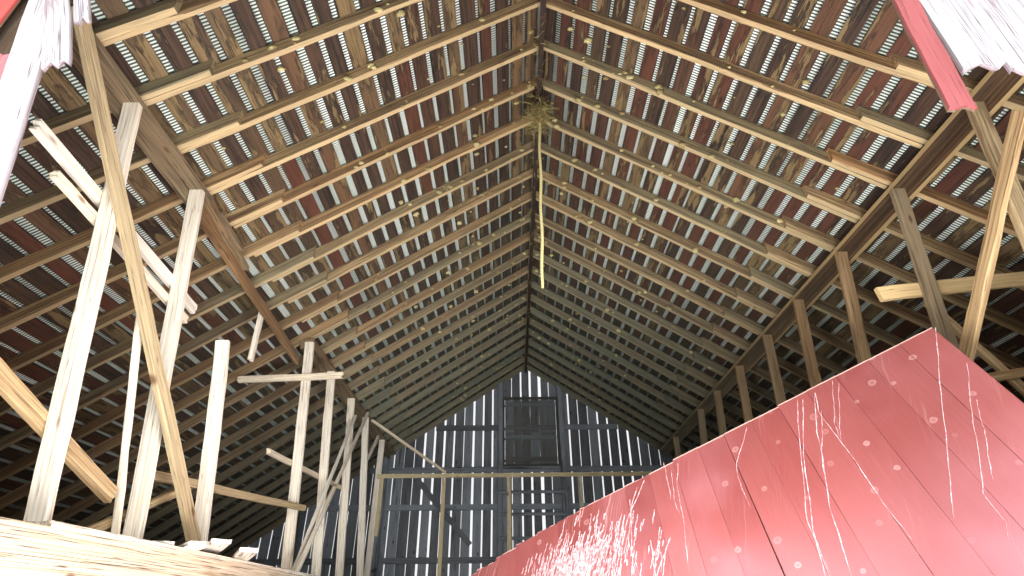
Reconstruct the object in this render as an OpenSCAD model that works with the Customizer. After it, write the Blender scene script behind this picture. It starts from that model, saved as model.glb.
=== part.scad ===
// Gable barn with an open, broken front: pole-framed side mows, a hay track at the ridge,
// gapped board sheathing under corrugated metal, and a fallen piece of the front wall inside.
// Millimetres. Origin on the ground at the centre of the footprint, +Y towards the back gable.

/* [Frame] */
// Width over the outer faces of the side wall frames
frame_w = 12340; // [11900:10:12800]
// Number of rafter bays
bays = 22; // [18:2:26]
// Rafter spacing, centre to centre
bay = 457; // [435:1:480]
// Roof pitch in degrees
pitch = 33.7; // [32.7:0.1:34.7]
// Height of the top of the eave plates
plate_top = 2550; // [2450:10:2700]
// Thickness of framing planks
plank_t = 45; // [40:1:50]
// Width of framing planks
plank_w = 105; // [95:1:115]
// Side of the square wall posts and sills
post_w = 150; // [130:5:180]
// Width of the eave plates
plate_w = 100; // [90:5:120]
// Depth of the eave plates
plate_h = 150; // [120:5:200]

/* [Roof] */
// Depth of the rafters
rafter_d = 110; // [100:1:125]
// Thickness of the ridge board
ridge_t = 25; // [20:1:40]
// Eave overhang, level
eave_over = 300; // [200:10:400]
// Roof overhang at each gable
rake_over = 170; // [120:10:300]
// Width of a sheathing board
sheath_w = 130; // [110:1:150]
// Spacing of the sheathing boards along the slope
sheath_pitch = 175; // [165:1:200]
// Thickness of the sheathing boards
sheath_t = 22; // [18:1:30]
// Depth of the roof metal over its corrugations
metal_t = 16; // [12:1:25]
// Width of each wing of the ridge cap
cap_w = 180; // [120:10:240]
// Thickness of the ridge cap
cap_t = 3; // [2:1:6]

/* [Walls] */
// Thickness of the wall boards
board_t = 25; // [20:1:32]
// Spacing of the wall boards
board_pitch = 206; // [190:1:225]
// Width of the foundation walls
base_w = 260; // [220:10:320]
// Height of the foundation walls
base_h = 250; // [150:10:400]
// Height where the boards over the drive opening end
drive_h = 4620; // [4560:10:4700]
// Wall girt width
girt_w = 110; // [95:1:125]

/* [Purlins and mows] */
// Distance between the inner faces of the two purlins
purlin_gap = 5470; // [5400:10:5540]
// Height of the mow floor's girders and joists, top face
mow_top = 2090; // [2040:10:2140]
// Depth of the mow girders
girder_h = 200; // [170:10:230]
// Distance between the two mow floors' edges over the drive floor
drive_gap = 4480; // [4400:10:4500]
// Mow floor board thickness
deck_t = 25; // [20:1:35]
// Drop of the broken left purlin at its free end
purlin_drop = 230; // [100:10:260]

/* [Hay door and track] */
// Width of the hay door opening
hay_w = 1110; // [1000:10:1200]
// Distance from the head of the hay door opening up to the rafters' underside at the ridge
hay_drop = 730; // [710:5:800]
// Height of the hay door opening
hay_h = 1400; // [1300:10:1450]
// Height of the lower hay door leaf
hay_low_h = 670; // [600:10:740]
// Clear gap round the hay door leaves
leaf_gap = 5; // [3:1:12]
// Rope diameter
rope_d = 30; // [24:1:36]

/* [Fallen panel] */
// Length of the fallen piece across its boards
panel_l = 4100; // [3900:10:4200]

/* [Hidden] */

half_w = frame_w / 2;
frame_l = bays * bay + plank_t;
half_l = frame_l / 2;
roof_l = frame_l + 2 * rake_over;
rise = tan(pitch);
seat_x = half_w - plate_w;
ridge_under = plate_top + seat_x * rise;
purlin_x = purlin_gap / 2;
purlin_out = purlin_x + plank_w;
mow_x = drive_gap / 2;
// The drive opening's posts stand in line with the purlins
gable_post_t = 100;
drive_w = 2 * (purlin_out - gable_post_t);
// The hay door hangs a little to the right of the ridge
hay_x = 80;
hay_z = ridge_under - hay_drop - hay_h;
sill_z = base_h + post_w;
// Wall boards stop clear under the rafters and reach below the top of the foundation
eave_clear = 5;
wall_board_top = plate_top - (plate_w + board_t) * rise - eave_clear;
board_lap = 60;
wall_board_foot = base_h - board_lap;
slope_l = (half_w + eave_over - ridge_t / 2) / cos(pitch);

wood_tan = [0.62, 0.47, 0.29];
wood_grey = [0.55, 0.50, 0.42];
wood_dark = [0.30, 0.22, 0.17];
wood_pale = [0.86, 0.81, 0.70];
barn_red = [0.62, 0.20, 0.18];
zinc = [0.72, 0.75, 0.76];

// Height of the rafters' underside and top at a distance x from the ridge plane
function under(x) = ridge_under - x * rise;
function over(x) = under(x) + rafter_d / cos(pitch);
// Centre of rafter pair number i along the barn
function rafter_y(i) = -half_l + plank_t / 2 + i * bay;
// A repeatable number from 0 to 1 for piece number i
function vary(i) = abs(sin(i * 137.5 + 31));
function unit(v) = v / norm(v);

module both_sides() {
    children();
    mirror([1, 0, 0]) children();
}

// Box from its low corner to its high corner
module block(low, high) translate(low) cube(high - low);

// Plank from point p to point q, width w across, thickness t, turned by turn about its own length
module plank(p, q, w, t, turn = 0) {
    v = q - p;
    translate(p)
        rotate([0, acos(v[2] / norm(v)), atan2(v[1], v[0])])
            rotate([0, 0, turn])
                translate([-w / 2, -t / 2, 0]) cube([w, t, norm(v)]);
}

// Outline in x and z, drawn as a plate from y0 to y1
module upright_plate(y0, y1)
    translate([0, y1, 0]) rotate([90, 0, 0]) linear_extrude(y1 - y0) children();

module side_foundations() color("darkgray")
    both_sides() block([half_w - base_w, -half_l, 0], [half_w, half_l, base_h]);

module end_foundations() color("darkgray") {
    inner = half_w - base_w;
    block([-inner, half_l - base_w, 0], [inner, half_l, base_h]);
    both_sides() block([drive_w / 2, -half_l, 0], [inner, -half_l + base_w, base_h]);
}

module sill_beams() color(wood_grey) {
    both_sides() {
        block([half_w - post_w, -half_l, base_h], [half_w, half_l, sill_z]);
        block([drive_w / 2, -half_l, base_h], [half_w - post_w, -half_l + post_w, sill_z]);
    }
    block([-half_w + post_w, half_l - post_w, base_h], [half_w - post_w, half_l, sill_z]);
}

wall_bays = 6;
wall_pitch = (frame_l - post_w) / wall_bays;
function wall_post_y(k) = -half_l + k * wall_pitch;

module wall_posts() color(wood_grey)
    both_sides()
        for (k = [0:wall_bays])
            block([half_w - post_w, wall_post_y(k), sill_z],
                  [half_w, wall_post_y(k) + post_w, plate_top - plate_h]);

girt_rows = 2;
function girt_z(r) = sill_z + (r + 1) * (plate_top - plate_h - sill_z) / (girt_rows + 1);

module wall_girts() color(wood_grey)
    both_sides()
        for (k = [0:wall_bays - 1], r = [0:girt_rows - 1])
            block([half_w - plank_t, wall_post_y(k) + post_w, girt_z(r) - girt_w / 2],
                  [half_w, wall_post_y(k + 1), girt_z(r) + girt_w / 2]);

module eave_plates() color(wood_grey)
    both_sides()
        block([half_w - plate_w, -half_l, plate_top - plate_h], [half_w, half_l, plate_top]);

module right_wall_boards_shape()
    block([half_w, -half_l - board_t, wall_board_foot], [half_w + board_t, half_l + board_t, wall_board_top]);

module right_wall_boards() color(barn_red) right_wall_boards_shape();
module left_wall_boards() color(barn_red) mirror([1, 0, 0]) right_wall_boards_shape();

// Posts in a gable frame stop under the end rafters' lower edge
module gable_post(x, y0, y1, z0)
    upright_plate(y0, y1)
        polygon([[x, z0], [x + gable_post_t, z0],
                 [x + gable_post_t, under(x + gable_post_t)], [x, under(x)]]);

// A brace nailed across the inside of the gable girts, left of the hay door: its upper and lower end
gable_brace = [[-2318, 4231], [-1152, 2951]];
module back_gable_posts() color(wood_grey) {
    y = half_l - plank_t - board_t / 2;
    plank([gable_brace[0][0], y, gable_brace[0][1]], [gable_brace[1][0], y, gable_brace[1][1]], plank_w, board_t);
    both_sides()
        gable_post(purlin_out + plank_t, half_l - post_w, half_l - plank_t, sill_z);
    gable_post(hay_x + hay_w / 2 + plank_t, half_l - post_w, half_l - plank_t, sill_z);
    mirror([1, 0, 0]) gable_post(-hay_x + hay_w / 2 + plank_t, half_l - post_w, half_l - plank_t, sill_z);
}

back_girts = [1000, 1800, 2634, 3588, hay_z - plank_t - girt_w, 5189];
// Girts nailed across the outer faces of the gable posts, cut under the end rafters
module gable_girt(z, y0, y1, gap, x = 0) {
    reach = z + girt_w < plate_top - plate_h ? half_w - post_w
          : min(half_w - plate_w, (ridge_under - z - girt_w) / rise);
    upright_plate(y0, y1) {
        translate([x + gap, z]) square([reach - x - gap, girt_w]);
        translate([-reach, z]) square([reach + x - gap, girt_w]);
    }
}

module back_gable_girts() color(wood_grey)
    for (z = back_girts)
        gable_girt(z, half_l - plank_t, half_l,
                   z > hay_z - plank_t && z < hay_z + hay_h ? hay_w / 2 + plank_t : 0, hay_x);

// Gable outline between the wall boards, stopped clear under the roof sheathing
module gable_outline(z0)
    polygon([[-half_w, z0], [half_w, z0], [half_w, over(half_w)], [0, over(0)], [-half_w, over(half_w)]]);

module back_gable_boards() color(barn_red)
    upright_plate(half_l, half_l + board_t)
        difference() {
            gable_outline(wall_board_foot);
            translate([hay_x - hay_w / 2, hay_z]) square([hay_w, hay_h]);
        }

module front_gable_posts() color(wood_grey)
    both_sides()
        gable_post(drive_w / 2, -half_l + plank_t, -half_l + post_w, sill_z);

front_head = 40;
front_girts = [1000, 1800, 2634, 3588, drive_h + front_head, 5500];
module front_gable_girts() color(wood_grey)
    for (z = front_girts)
        gable_girt(z, -half_l, -half_l + plank_t, z < drive_h ? drive_w / 2 : 0);

// Ragged lower edge over the drive opening: each board ends at its own height
tear = 150;
module front_gable_boards() color(barn_red)
    upright_plate(-half_l - board_t, -half_l)
        difference() {
            gable_outline(drive_h - tear);
            both_sides() translate([drive_w / 2, 0]) square([half_w, ridge_under]);
            n = round(drive_w / board_pitch);
            for (i = [0:n - 1])
                translate([-drive_w / 2 + i * drive_w / n, 0])
                    square([drive_w / n, drive_h - tear * vary(i)]);
        }

// At the left one more board still stands, broken off at its top
stub_w = 260;
stub_top = 3980;
module front_side_boards() color(barn_red)
    upright_plate(-half_l - board_t, -half_l) {
        both_sides()
            intersection() {
                gable_outline(wall_board_foot);
                translate([drive_w / 2, 0]) square([half_w, ridge_under]);
            }
        translate([-drive_w / 2, wall_board_foot]) square([stub_w, stub_top - wall_board_foot]);
    }

// Torn boards that hang from the gable boards into the opening:
// top point, foot point, width, and layer counted outwards from the gable boards
hanging_boards = [
    [[1607, 5000], [1520, 3490], 110, 1],
    [[1758, 5000], [1758, 3750], 205, 0],
    [[1966, 5000], [1966, 3735], 205, 0],
    [[2174, 5000], [2174, 3690], 205, 0],
    [[-2679, 4790], [-2270, 3800], 112, 1],
    [[-2578, 4800], [-2310, 4150], 66, 0],
    [[-2618, 4580], [-2080, 2150], 150, 0]
];
layer_clear = 0.3;
module front_hanging_boards() color(wood_pale)
    for (b = hanging_boards) {
        y = -half_l - board_t - board_t / 2 - b[3] * (board_t + layer_clear);
        plank([b[0][0], y, b[0][1]], [b[1][0], y, b[1][1]], b[2], board_t);
    }

module hay_door_frame() color(wood_grey)
    upright_plate(half_l - plank_t, half_l)
        translate([hay_x - hay_w / 2, hay_z]) {
            translate([-plank_t, -plank_t]) square([plank_t, hay_h + plank_t]);
            translate([hay_w, -plank_t]) square([plank_t, hay_h + plank_t]);
            translate([0, -plank_t]) square([hay_w, plank_t]);
            translate([-plank_t, hay_h]) square([hay_w + 2 * plank_t, plank_w / 2]);
        }

// A leaf of the hay door: upright boards, two ledges across the inside
// and two strap hinges outside that reach over the wall boards
ledge_h = 90;
ledge_in = 60;
strap_l = 420;
strap_h = 45;
strap_t = 5;
module hay_leaf(z0, z1) translate([hay_x, 0, 0]) {
    block([-hay_w / 2 + leaf_gap, half_l, z0], [hay_w / 2 - leaf_gap, half_l + board_t, z1]);
    for (z = [z0 + ledge_in, z1 - ledge_in - ledge_h]) {
        block([-hay_w / 2 + leaf_gap, half_l - board_t, z],
              [hay_w / 2 - leaf_gap, half_l, z + ledge_h]);
        block([-hay_w / 2 - strap_l / 3, half_l + board_t, z],
              [-hay_w / 2 + 2 * strap_l / 3, half_l + board_t + strap_t, z + strap_h]);
    }
}
module hay_door_upper() color(wood_dark) hay_leaf(hay_z + hay_low_h + leaf_gap, hay_z + hay_h - leaf_gap);
module hay_door_lower() color(wood_dark) hay_leaf(hay_z + leaf_gap, hay_z + hay_low_h);

// Rungs nailed across the two posts under the hay door
rung_w = 60;
rung_drops = [600, 1015, 1450];
module hay_door_ladder() color(wood_dark) {
    reach = hay_w / 2 + plank_t + gable_post_t;
    for (d = rung_drops)
        translate([hay_x, 0, 0]) block([-reach, half_l - post_w - plank_t / 2, hay_z - d],
              [reach, half_l - post_w, hay_z - d + rung_w]);
}

// Each rafter is two lengths lapped over the purlin: the upper one ends just past the purlin's
// inner face, and the lower one lies against its front side
lap_x = purlin_x - 350;
upper_end = purlin_x + 40;
lap_clear = 0.3;
module rafter_upper_outline()
    polygon([[ridge_t / 2, under(ridge_t / 2)], [upper_end, under(upper_end)],
             [upper_end, over(upper_end)], [ridge_t / 2, over(ridge_t / 2)]]);

module rafter_lower_outline()
    polygon([[lap_x, under(lap_x)], [seat_x, plate_top], [half_w, plate_top],
             [half_w, under(half_w)], [half_w + eave_over, under(half_w + eave_over)],
             [half_w + eave_over, over(half_w + eave_over)], [lap_x, over(lap_x)]]);

// The front pair laps behind, so that nothing passes the gable
module rafter(i) {
    lap = (i == 0 ? 1 : -1) * (plank_t + lap_clear);
    upright_plate(rafter_y(i) - plank_t / 2, rafter_y(i) + plank_t / 2) rafter_upper_outline();
    upright_plate(rafter_y(i) + lap - plank_t / 2, rafter_y(i) + lap + plank_t / 2) rafter_lower_outline();
}

module right_rafters() color(wood_tan) for (i = [0:bays]) rafter(i);
module left_rafters() color(wood_tan) mirror([1, 0, 0]) for (i = [0:bays]) rafter(i);

module ridge_board() color(wood_grey)
    block([-ridge_t / 2, -half_l, under(0)], [ridge_t / 2, half_l, over(ridge_t / 2)]);

// Moves children onto the right slope: x down the slope from the ridge, z out of it
module on_slope()
    translate([ridge_t / 2, 0, over(ridge_t / 2)]) rotate([0, pitch, 0]) children();

sheath_first = 20;
sheath_n = floor((slope_l - sheath_first - sheath_w) / sheath_pitch);
module right_sheathing_shape()
    on_slope()
        for (k = [0:sheath_n])
            translate([sheath_first + k * sheath_pitch, -roof_l / 2, 0])
                cube([sheath_w, roof_l, sheath_t]);

module right_sheathing() color(wood_dark) right_sheathing_shape();
module left_sheathing() color(wood_dark) mirror([1, 0, 0]) right_sheathing_shape();

module right_roof_metal_shape()
    on_slope()
        translate([sheath_first, -roof_l / 2, sheath_t]) cube([slope_l, roof_l, metal_t]);

module right_roof_metal() color(zinc) right_roof_metal_shape();
module left_roof_metal() color(zinc) mirror([1, 0, 0]) right_roof_metal_shape();

// Two wings lying on the roof metal, joined at the ridge
module ridge_cap() color(zinc) {
    lift = (sheath_t + metal_t) / cos(pitch);
    low = over(cap_w) + lift;
    top = over(0) + lift;
    thick = cap_t / cos(pitch);
    upright_plate(-roof_l / 2, roof_l / 2)
        polygon([[-cap_w, low], [0, top], [cap_w, low], [cap_w, low + thick],
                 [0, top + thick], [-cap_w, low + thick]]);
}

// Steel rail under the ridge: an upright web on a flat flange, hung by straps
track_w = 50;
track_t = 10;
track_h = 60;
track_drop = 45;
hanger_w = 40;
hanger_every = 4;
track_top = ridge_under - track_drop;
module hay_track() color("dimgray") {
    upright_plate(-half_l + plank_t, half_l - plank_t) {
        translate([-track_t / 2, track_top - track_h]) square([track_t, track_h]);
        translate([-track_w / 2, track_top - track_h]) square([track_w, track_t]);
    }
    for (i = [1:hanger_every:bays - 1])
        block([-track_t / 2, rafter_y(i) + (bay - hanger_w) / 2, track_top],
              [track_t / 2, rafter_y(i) + (bay + hanger_w) / 2, under(0)]);
}

// Trolley that runs on the rail's flange, with the sheave that the rope passes over
carrier_y = -2620;
carrier_l = 300;
wheel_d = 56;
wheel_t = 14;
cheek_t = 12;
cheek_gap = 8;
wheel_gap = 4;
carrier_drop = 80;
sheave_d = 90;
carrier_z = track_top - track_h - carrier_drop;
module hay_carrier() color("darkslategray") {
    flange_top = track_top - track_h + track_t;
    cheek_x = track_w / 2 + cheek_gap;
    translate([0, carrier_y, 0]) {
        both_sides() {
            block([cheek_x, -carrier_l / 2, carrier_z], [cheek_x + cheek_t, carrier_l / 2, flange_top + wheel_d]);
            for (y = [-carrier_l / 3, carrier_l / 3])
                translate([track_t / 2 + wheel_gap, y, flange_top + wheel_d / 2])
                    rotate([0, 90, 0]) cylinder(h = cheek_x - track_t / 2 - wheel_gap, d = wheel_d, $fn = 32);
        }
        block([-cheek_x, -carrier_l / 4, carrier_z], [cheek_x, carrier_l / 4, carrier_z + cheek_t]);
        translate([-wheel_t, 0, carrier_z - sheave_d / 2]) rotate([0, 90, 0])
            cylinder(h = 2 * wheel_t, d = sheave_d, $fn = 40);
    }
}

// Hanging rope: its points go down from the sheave
rope_points = [
    [0, -2620, 6250], [2, -2616, 6170], [2, -2616, 6090], [0, -2618, 6010], [-5, -2619, 5930],
    [-10, -2621, 5850], [-14, -2623, 5770], [-16, -2624, 5690], [-16, -2624, 5610], [-14, -2623, 5530],
    [-13, -2621, 5450], [-13, -2619, 5370], [-15, -2617, 5290], [-19, -2616, 5210], [-24, -2616, 5130],
    [-28, -2617, 5050], [-30, -2618, 4970], [-30, -2620, 4890], [-29, -2622, 4810], [-27, -2624, 4730],
    [-27, -2624, 4650], [-29, -2624, 4570], [-34, -2622, 4490], [-39, -2620, 4410], [-43, -2618, 4330],
    [-45, -2617, 4250], [-44, -2616, 4170], [-42, -2616, 4090]
];
rope_sides = 10;
// Clearance under the sheave
rope_clear = 0.3;
module hay_rope() color("khaki") {
    n = len(rope_points);
    top = rope_points[0];
    shift = [-top[0], carrier_y - top[1], carrier_z - sheave_d - rope_clear - top[2]];
    ring = [for (p = rope_points, a = [0:rope_sides - 1])
        p + shift + rope_d / 2 * [cos(a * 360 / rope_sides), sin(a * 360 / rope_sides), 0]];
    sides = [for (r = [0:n - 2], a = [0:rope_sides - 1])
        let (b = (a + 1) % rope_sides, s = rope_sides)
        [r * s + a, (r + 1) * s + a, (r + 1) * s + b, r * s + b]];
    caps = [[for (a = [0:rope_sides - 1]) a],
            [for (a = [rope_sides - 1:-1:0]) (n - 1) * rope_sides + a]];
    polyhedron(points = ring, faces = concat(sides, caps));
}

// Purlin cross-section: a flat plank on the posts and an upright plank close along its outer side
flat_top = under(purlin_out);
upright_x = purlin_out + layer_clear;
upright_top = under(upright_x + plank_t);
module purlin_run(y0, y1) {
    upright_plate(y0, y1) translate([purlin_x, flat_top - plank_t]) square([plank_w, plank_t]);
    upright_plate(y0, y1) translate([upright_x, upright_top - plank_w]) square([plank_t, plank_w]);
}

module right_purlin() color(wood_dark) purlin_run(-half_l + post_w, half_l - post_w);

// Left purlin: sound at both ends, snapped and sagging between
snap_y = -3200;
sag_end_y = -600;
sound_y = -560;
// Length of the torn flat plank left in the sagging part
torn_l = 900;
torn_clear = 4.4;
module left_purlin() color(wood_dark)
    mirror([1, 0, 0]) {
        purlin_run(-half_l + post_w, snap_y);
        purlin_run(sound_y, half_l - post_w);
        fall = atan(purlin_drop / (sag_end_y - snap_y));
        length = (sag_end_y - snap_y) / cos(fall);
        translate([0, snap_y, flat_top]) rotate([-fall, 0, 0]) {
            translate([purlin_x, torn_clear, -plank_t]) linear_extrude(plank_t)
                polygon([[0, 0], [plank_w, 0], [plank_w, torn_l], [plank_w / 2, torn_l * 0.7]]);
            low = upright_top - flat_top - plank_w;
            start = layer_clear - low * tan(fall);
            translate([upright_x, start, low]) cube([plank_t, length - start, plank_w]);
        }
    }

// Plank post from the mow floor up to the flat plank of a purlin. The roof has spread, so the posts
// lean outwards: the foot stands inset from the purlin and at its own place along it.
floor_z = mow_top + deck_t;
post_head = flat_top - plank_t;
module purlin_post(foot_y, head_y, inset, head_z = post_head) {
    h = head_z - floor_z;
    multmatrix([[1, 0, inset / h, purlin_x - inset],
                [0, 1, (head_y - foot_y) / h, foot_y - plank_t / 2],
                [0, 0, 1, floor_z],
                [0, 0, 0, 1]]) cube([plank_w, plank_t, h]);
}

// The cross rail's end posts stand plumb behind it
cross_y = 3760;
rail_post = [cross_y + plank_t / 2 + layer_clear, cross_y + plank_t / 2 + layer_clear, 0];
// Foot along the barn, head along the barn, inset of the foot
right_posts = [
    [-4050, -4130, 300], [-3205, -3270, 240], [-2210, -2385, 230], [-1400, -1480, 180],
    [-632, -620, 140], [316, 341, 140], [1338, 1302, 140], [2290, 2150, 140], rail_post
];
module right_purlin_posts() color(wood_tan)
    for (p = right_posts) purlin_post(p[0], p[1], p[2]);

left_posts = [
    [-3956, -4184, 300], [-3136, -3328, 240], [-433, -535, 180], [529, 400, 180],
    [1616, 1480, 150], [2691, 2430, 170], rail_post
];
short_post_z = 3700;
module left_purlin_posts() color(wood_pale)
    mirror([1, 0, 0]) {
        for (p = left_posts) purlin_post(p[0], p[1], p[2]);
        multmatrix([[1, 0, 0.075, purlin_x - 240], [0, 1, -0.155, -2372], [0, 0, 1, floor_z], [0, 0, 0, 1]])
            cube([plank_w, plank_t, short_post_z - floor_z]);
    }

girder_w = 150;
module mow_girders() color(wood_tan)
    both_sides()
        block([mow_x, -half_l + post_w, mow_top - girder_h], [mow_x + girder_w, half_l - post_w, mow_top]);

// Joists from the girder's side to the wall posts' line
module mow_joists() color(wood_grey)
    both_sides()
        for (i = [1:bays - 1])
            block([mow_x + girder_w, rafter_y(i) - plank_t / 2, mow_top - plank_w],
                  [half_w - post_w, rafter_y(i) + plank_t / 2, mow_top]);

// Floor boards over the girders and joists, gone from the front end of the left mow.
// Four loose boards lie on the left floor and reach over its edge: near end, far end and layer.
deck_front = 50;
deck_broken = 700;
loose_w = 115;
loose_floor_boards = [
    [[-2290, -3250], [-3480, -2010], 0],
    [[-2106, -3207], [-3331, -1705], 0],
    [[-2046, -3090], [-3500, -700], 1],
    [[-1970, -2860], [-3250, -429], 0]
];
module mow_deck(front)
    block([mow_x, -half_l + post_w + front, mow_top], [half_w - post_w, half_l - post_w, floor_z]);

module mow_floors() color(wood_grey) {
    mow_deck(deck_front);
    mirror([1, 0, 0]) mow_deck(deck_broken);
    for (b = loose_floor_boards) {
        z = floor_z + layer_clear + deck_t / 2 + b[2] * (deck_t + layer_clear);
        plank([b[0][0], b[0][1], z], [b[1][0], b[1][1], z], deck_t, loose_w);
    }
}

module mow_posts() color(wood_grey)
    both_sides()
        for (k = [1:wall_bays - 1])
            block([mow_x, wall_post_y(k), 0], [mow_x + girder_w, wall_post_y(k) + post_w, mow_top - girder_h]);

// Loose and nailed-on boards that lean on the purlins and their posts. A point is given by its distance
// out from the purlin's inner face, its place along the barn and its height over the mow floor where the
// posts are post_nominal tall; with other posts the heights stretch alike.
post_nominal = 2544;
function near_purlin(side, p) =
    [side * (purlin_x + p[0]), p[1], floor_z + p[2] * (post_head - floor_z) / post_nominal];

// Start, end and width
stick_t = 38;
left_boards = [
    [[36, -4668, 1848], [58, -2882, 1718], 78],
    [[19, -4470, 1695], [44, -2960, 1585], 56],
    [[-113, -4480, 635], [-113, -3330, 250], 90],
    [[-48, -3080, 443], [-162, -330, 666], 60],
    [[18, -1130, 1074], [52, 1700, 1256], 55],
    [[-65, -3450, 23], [-25, -2320, 525], 50],
    [[-330, -2700, 56], [-24, -4840, 2575], 92],
    [[-115, -3176, 6], [-135, -3736, 1434], 30],
    [[810, -560, 2059], [-435, -560, 2103], 76],
    [[-21, 2253, 2575], [-385, -869, 20], 50],
    [[-37, 1513, 2280], [-315, -781, 15], 40],
    [[-14, 2560, 2545], [-1195, 3740, 1919], 40],
    [[52, 3450, 2522], [52, 2561, 1675], 60],
    [[170, -1640, 2385], [170, -1620, 1835], 62]
];
module left_loose_boards() color(wood_pale)
    for (b = left_boards) plank(near_purlin(-1, b[0]), near_purlin(-1, b[1]), b[2], stick_t);

right_boards = [
    [[-385, -3204, 1617], [1015, -3204, 1775], 108],
    [[-95, -4467, 2130], [-195, -3180, 745], 90],
    [[-15, -3148, 1585], [425, -3148, 815], 60],
    [[-135, -3186, 935], [765, -3186, 1075], 60]
];
module right_braces() color(wood_tan)
    for (b = right_boards) plank(near_purlin(1, b[0]), near_purlin(1, b[1]), b[2], stick_t);

// Cross frame of light studs and a rail, with a broken stud at its left end
cross_z = 3980;
stud_w = 70;
stud_t = 38;
stud_x = [-1570, -385, 906];
broken_stud_z = 2970;
rail_end = purlin_x + 60;
module cross_rail() color(wood_tan)
    block([-rail_end, cross_y - stud_t, cross_z - stud_w / 2], [rail_end, cross_y, cross_z + stud_w / 2]);

module cross_studs() color(wood_tan) {
    for (x = stud_x)
        block([x - stud_w / 2, cross_y - stud_t, 0], [x + stud_w / 2, cross_y, cross_z - stud_w / 2]);
    block([-purlin_x, cross_y - stud_t, broken_stud_z],
          [-purlin_x + stud_w, cross_y, cross_z - stud_w / 2]);
}

// Fallen piece of the front wall. Its own x runs down its top edge, y down its boards, z out of its face.
panel_corner = [mow_x + 48, -3604, 3270];
panel_edge = unit([-0.786, 0.545, -0.294]);
panel_face = unit(cross(panel_edge, [-0.043, -0.522, -0.852]));
panel_fall = cross(panel_face, panel_edge);
panel_girt_w = 90;
panel_girt_t = 50;
panel_girt_in = 60;
panel_girt_short = 300;
// Length of its boards: the lower corner just meets the ground
panel_w = -(panel_corner[2] + panel_l * panel_edge[2] - board_t * panel_face[2]) / panel_fall[2];
module on_panel()
    multmatrix([[panel_edge[0], panel_fall[0], panel_face[0], panel_corner[0]],
                [panel_edge[1], panel_fall[1], panel_face[1], panel_corner[1]],
                [panel_edge[2], panel_fall[2], panel_face[2], panel_corner[2]],
                [0, 0, 0, 1]]) children();

module fallen_panel_boards() color(barn_red)
    on_panel() translate([0, 0, -board_t]) cube([panel_l, panel_w, board_t]);

module fallen_panel_girts() color(wood_grey)
    on_panel()
        for (y = [0.07, 0.5, 0.9] * panel_w)
            translate([panel_girt_in, y, -board_t - panel_girt_t])
                cube([panel_l - panel_girt_short, panel_girt_w, panel_girt_t]);

side_foundations();
end_foundations();
sill_beams();
wall_posts();
wall_girts();
eave_plates();
left_wall_boards();
right_wall_boards();
back_gable_posts();
back_gable_girts();
back_gable_boards();
front_gable_posts();
front_gable_girts();
front_gable_boards();
front_side_boards();
front_hanging_boards();
hay_door_frame();
hay_door_upper();
hay_door_lower();
hay_door_ladder();
left_rafters();
right_rafters();
ridge_board();
left_sheathing();
right_sheathing();
left_roof_metal();
right_roof_metal();
ridge_cap();
hay_track();
hay_carrier();
hay_rope();
left_purlin();
right_purlin();
left_purlin_posts();
right_purlin_posts();
mow_girders();
mow_joists();
mow_floors();
mow_posts();
left_loose_boards();
right_braces();
cross_rail();
cross_studs();
fallen_panel_boards();
fallen_panel_girts();
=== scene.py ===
import math
import bmesh
import bpy
import numpy as np
from mathutils import Matrix, Vector


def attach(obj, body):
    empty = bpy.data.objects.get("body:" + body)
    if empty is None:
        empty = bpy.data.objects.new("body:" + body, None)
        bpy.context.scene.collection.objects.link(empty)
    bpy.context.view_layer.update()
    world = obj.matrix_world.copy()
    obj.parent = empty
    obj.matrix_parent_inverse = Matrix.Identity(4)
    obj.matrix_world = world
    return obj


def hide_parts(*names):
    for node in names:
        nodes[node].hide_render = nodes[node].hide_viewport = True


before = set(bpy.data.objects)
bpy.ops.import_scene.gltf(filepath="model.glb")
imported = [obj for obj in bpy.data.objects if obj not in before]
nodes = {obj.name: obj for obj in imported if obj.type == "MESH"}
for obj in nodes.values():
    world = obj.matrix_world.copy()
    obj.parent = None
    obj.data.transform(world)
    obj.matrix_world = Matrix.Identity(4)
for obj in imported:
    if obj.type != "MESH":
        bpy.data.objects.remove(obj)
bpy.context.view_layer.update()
scene = bpy.context.scene
fullTurn = 2 * math.pi
print("frame loaded,", len(nodes), "nodes")

# Camera: outside the torn front, low, looking up along the ridge
cameraLook = {"eye": (-0.3146, -6.66, 1.75), "focalPixels": 550.0, "frame": (1024, 576),
              "ridgePoint": (514.0, 617.0), "roll": math.radians(0.61), "film": 36.0, "clip": (0.05, 200.0)}


def unit(vector):
    return vector / np.linalg.norm(vector, axis=-1, keepdims=True)


def cameraPlace(look):
    # the ridge runs away towards ridgePoint in the picture, and roll turns the barn about it
    x, y = look["ridgePoint"]
    ridge = unit(np.array([x - look["frame"][0] / 2, look["frame"][1] / 2 - y, look["focalPixels"]]))
    level = unit(np.cross((0, 1, 0), ridge))
    upright = np.cross(ridge, level)
    straight, turned = math.cos(look["roll"]), math.sin(look["roll"])
    barnAxes = np.array([straight * level + turned * upright, ridge, straight * upright - turned * level])
    place = Matrix((barnAxes * (1, 1, -1)).tolist()).to_4x4()
    place.translation = look["eye"]
    return place


cameraData = bpy.data.cameras.new("camera")
cameraData.sensor_fit = "HORIZONTAL"
cameraData.sensor_width = cameraLook["film"]
cameraData.lens = cameraLook["film"] * cameraLook["focalPixels"] / cameraLook["frame"][0]
cameraData.clip_start, cameraData.clip_end = cameraLook["clip"]
camera = bpy.data.objects.new("camera", cameraData)
camera.matrix_world = cameraPlace(cameraLook)
scene.collection.objects.link(camera)
scene.camera = camera

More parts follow.
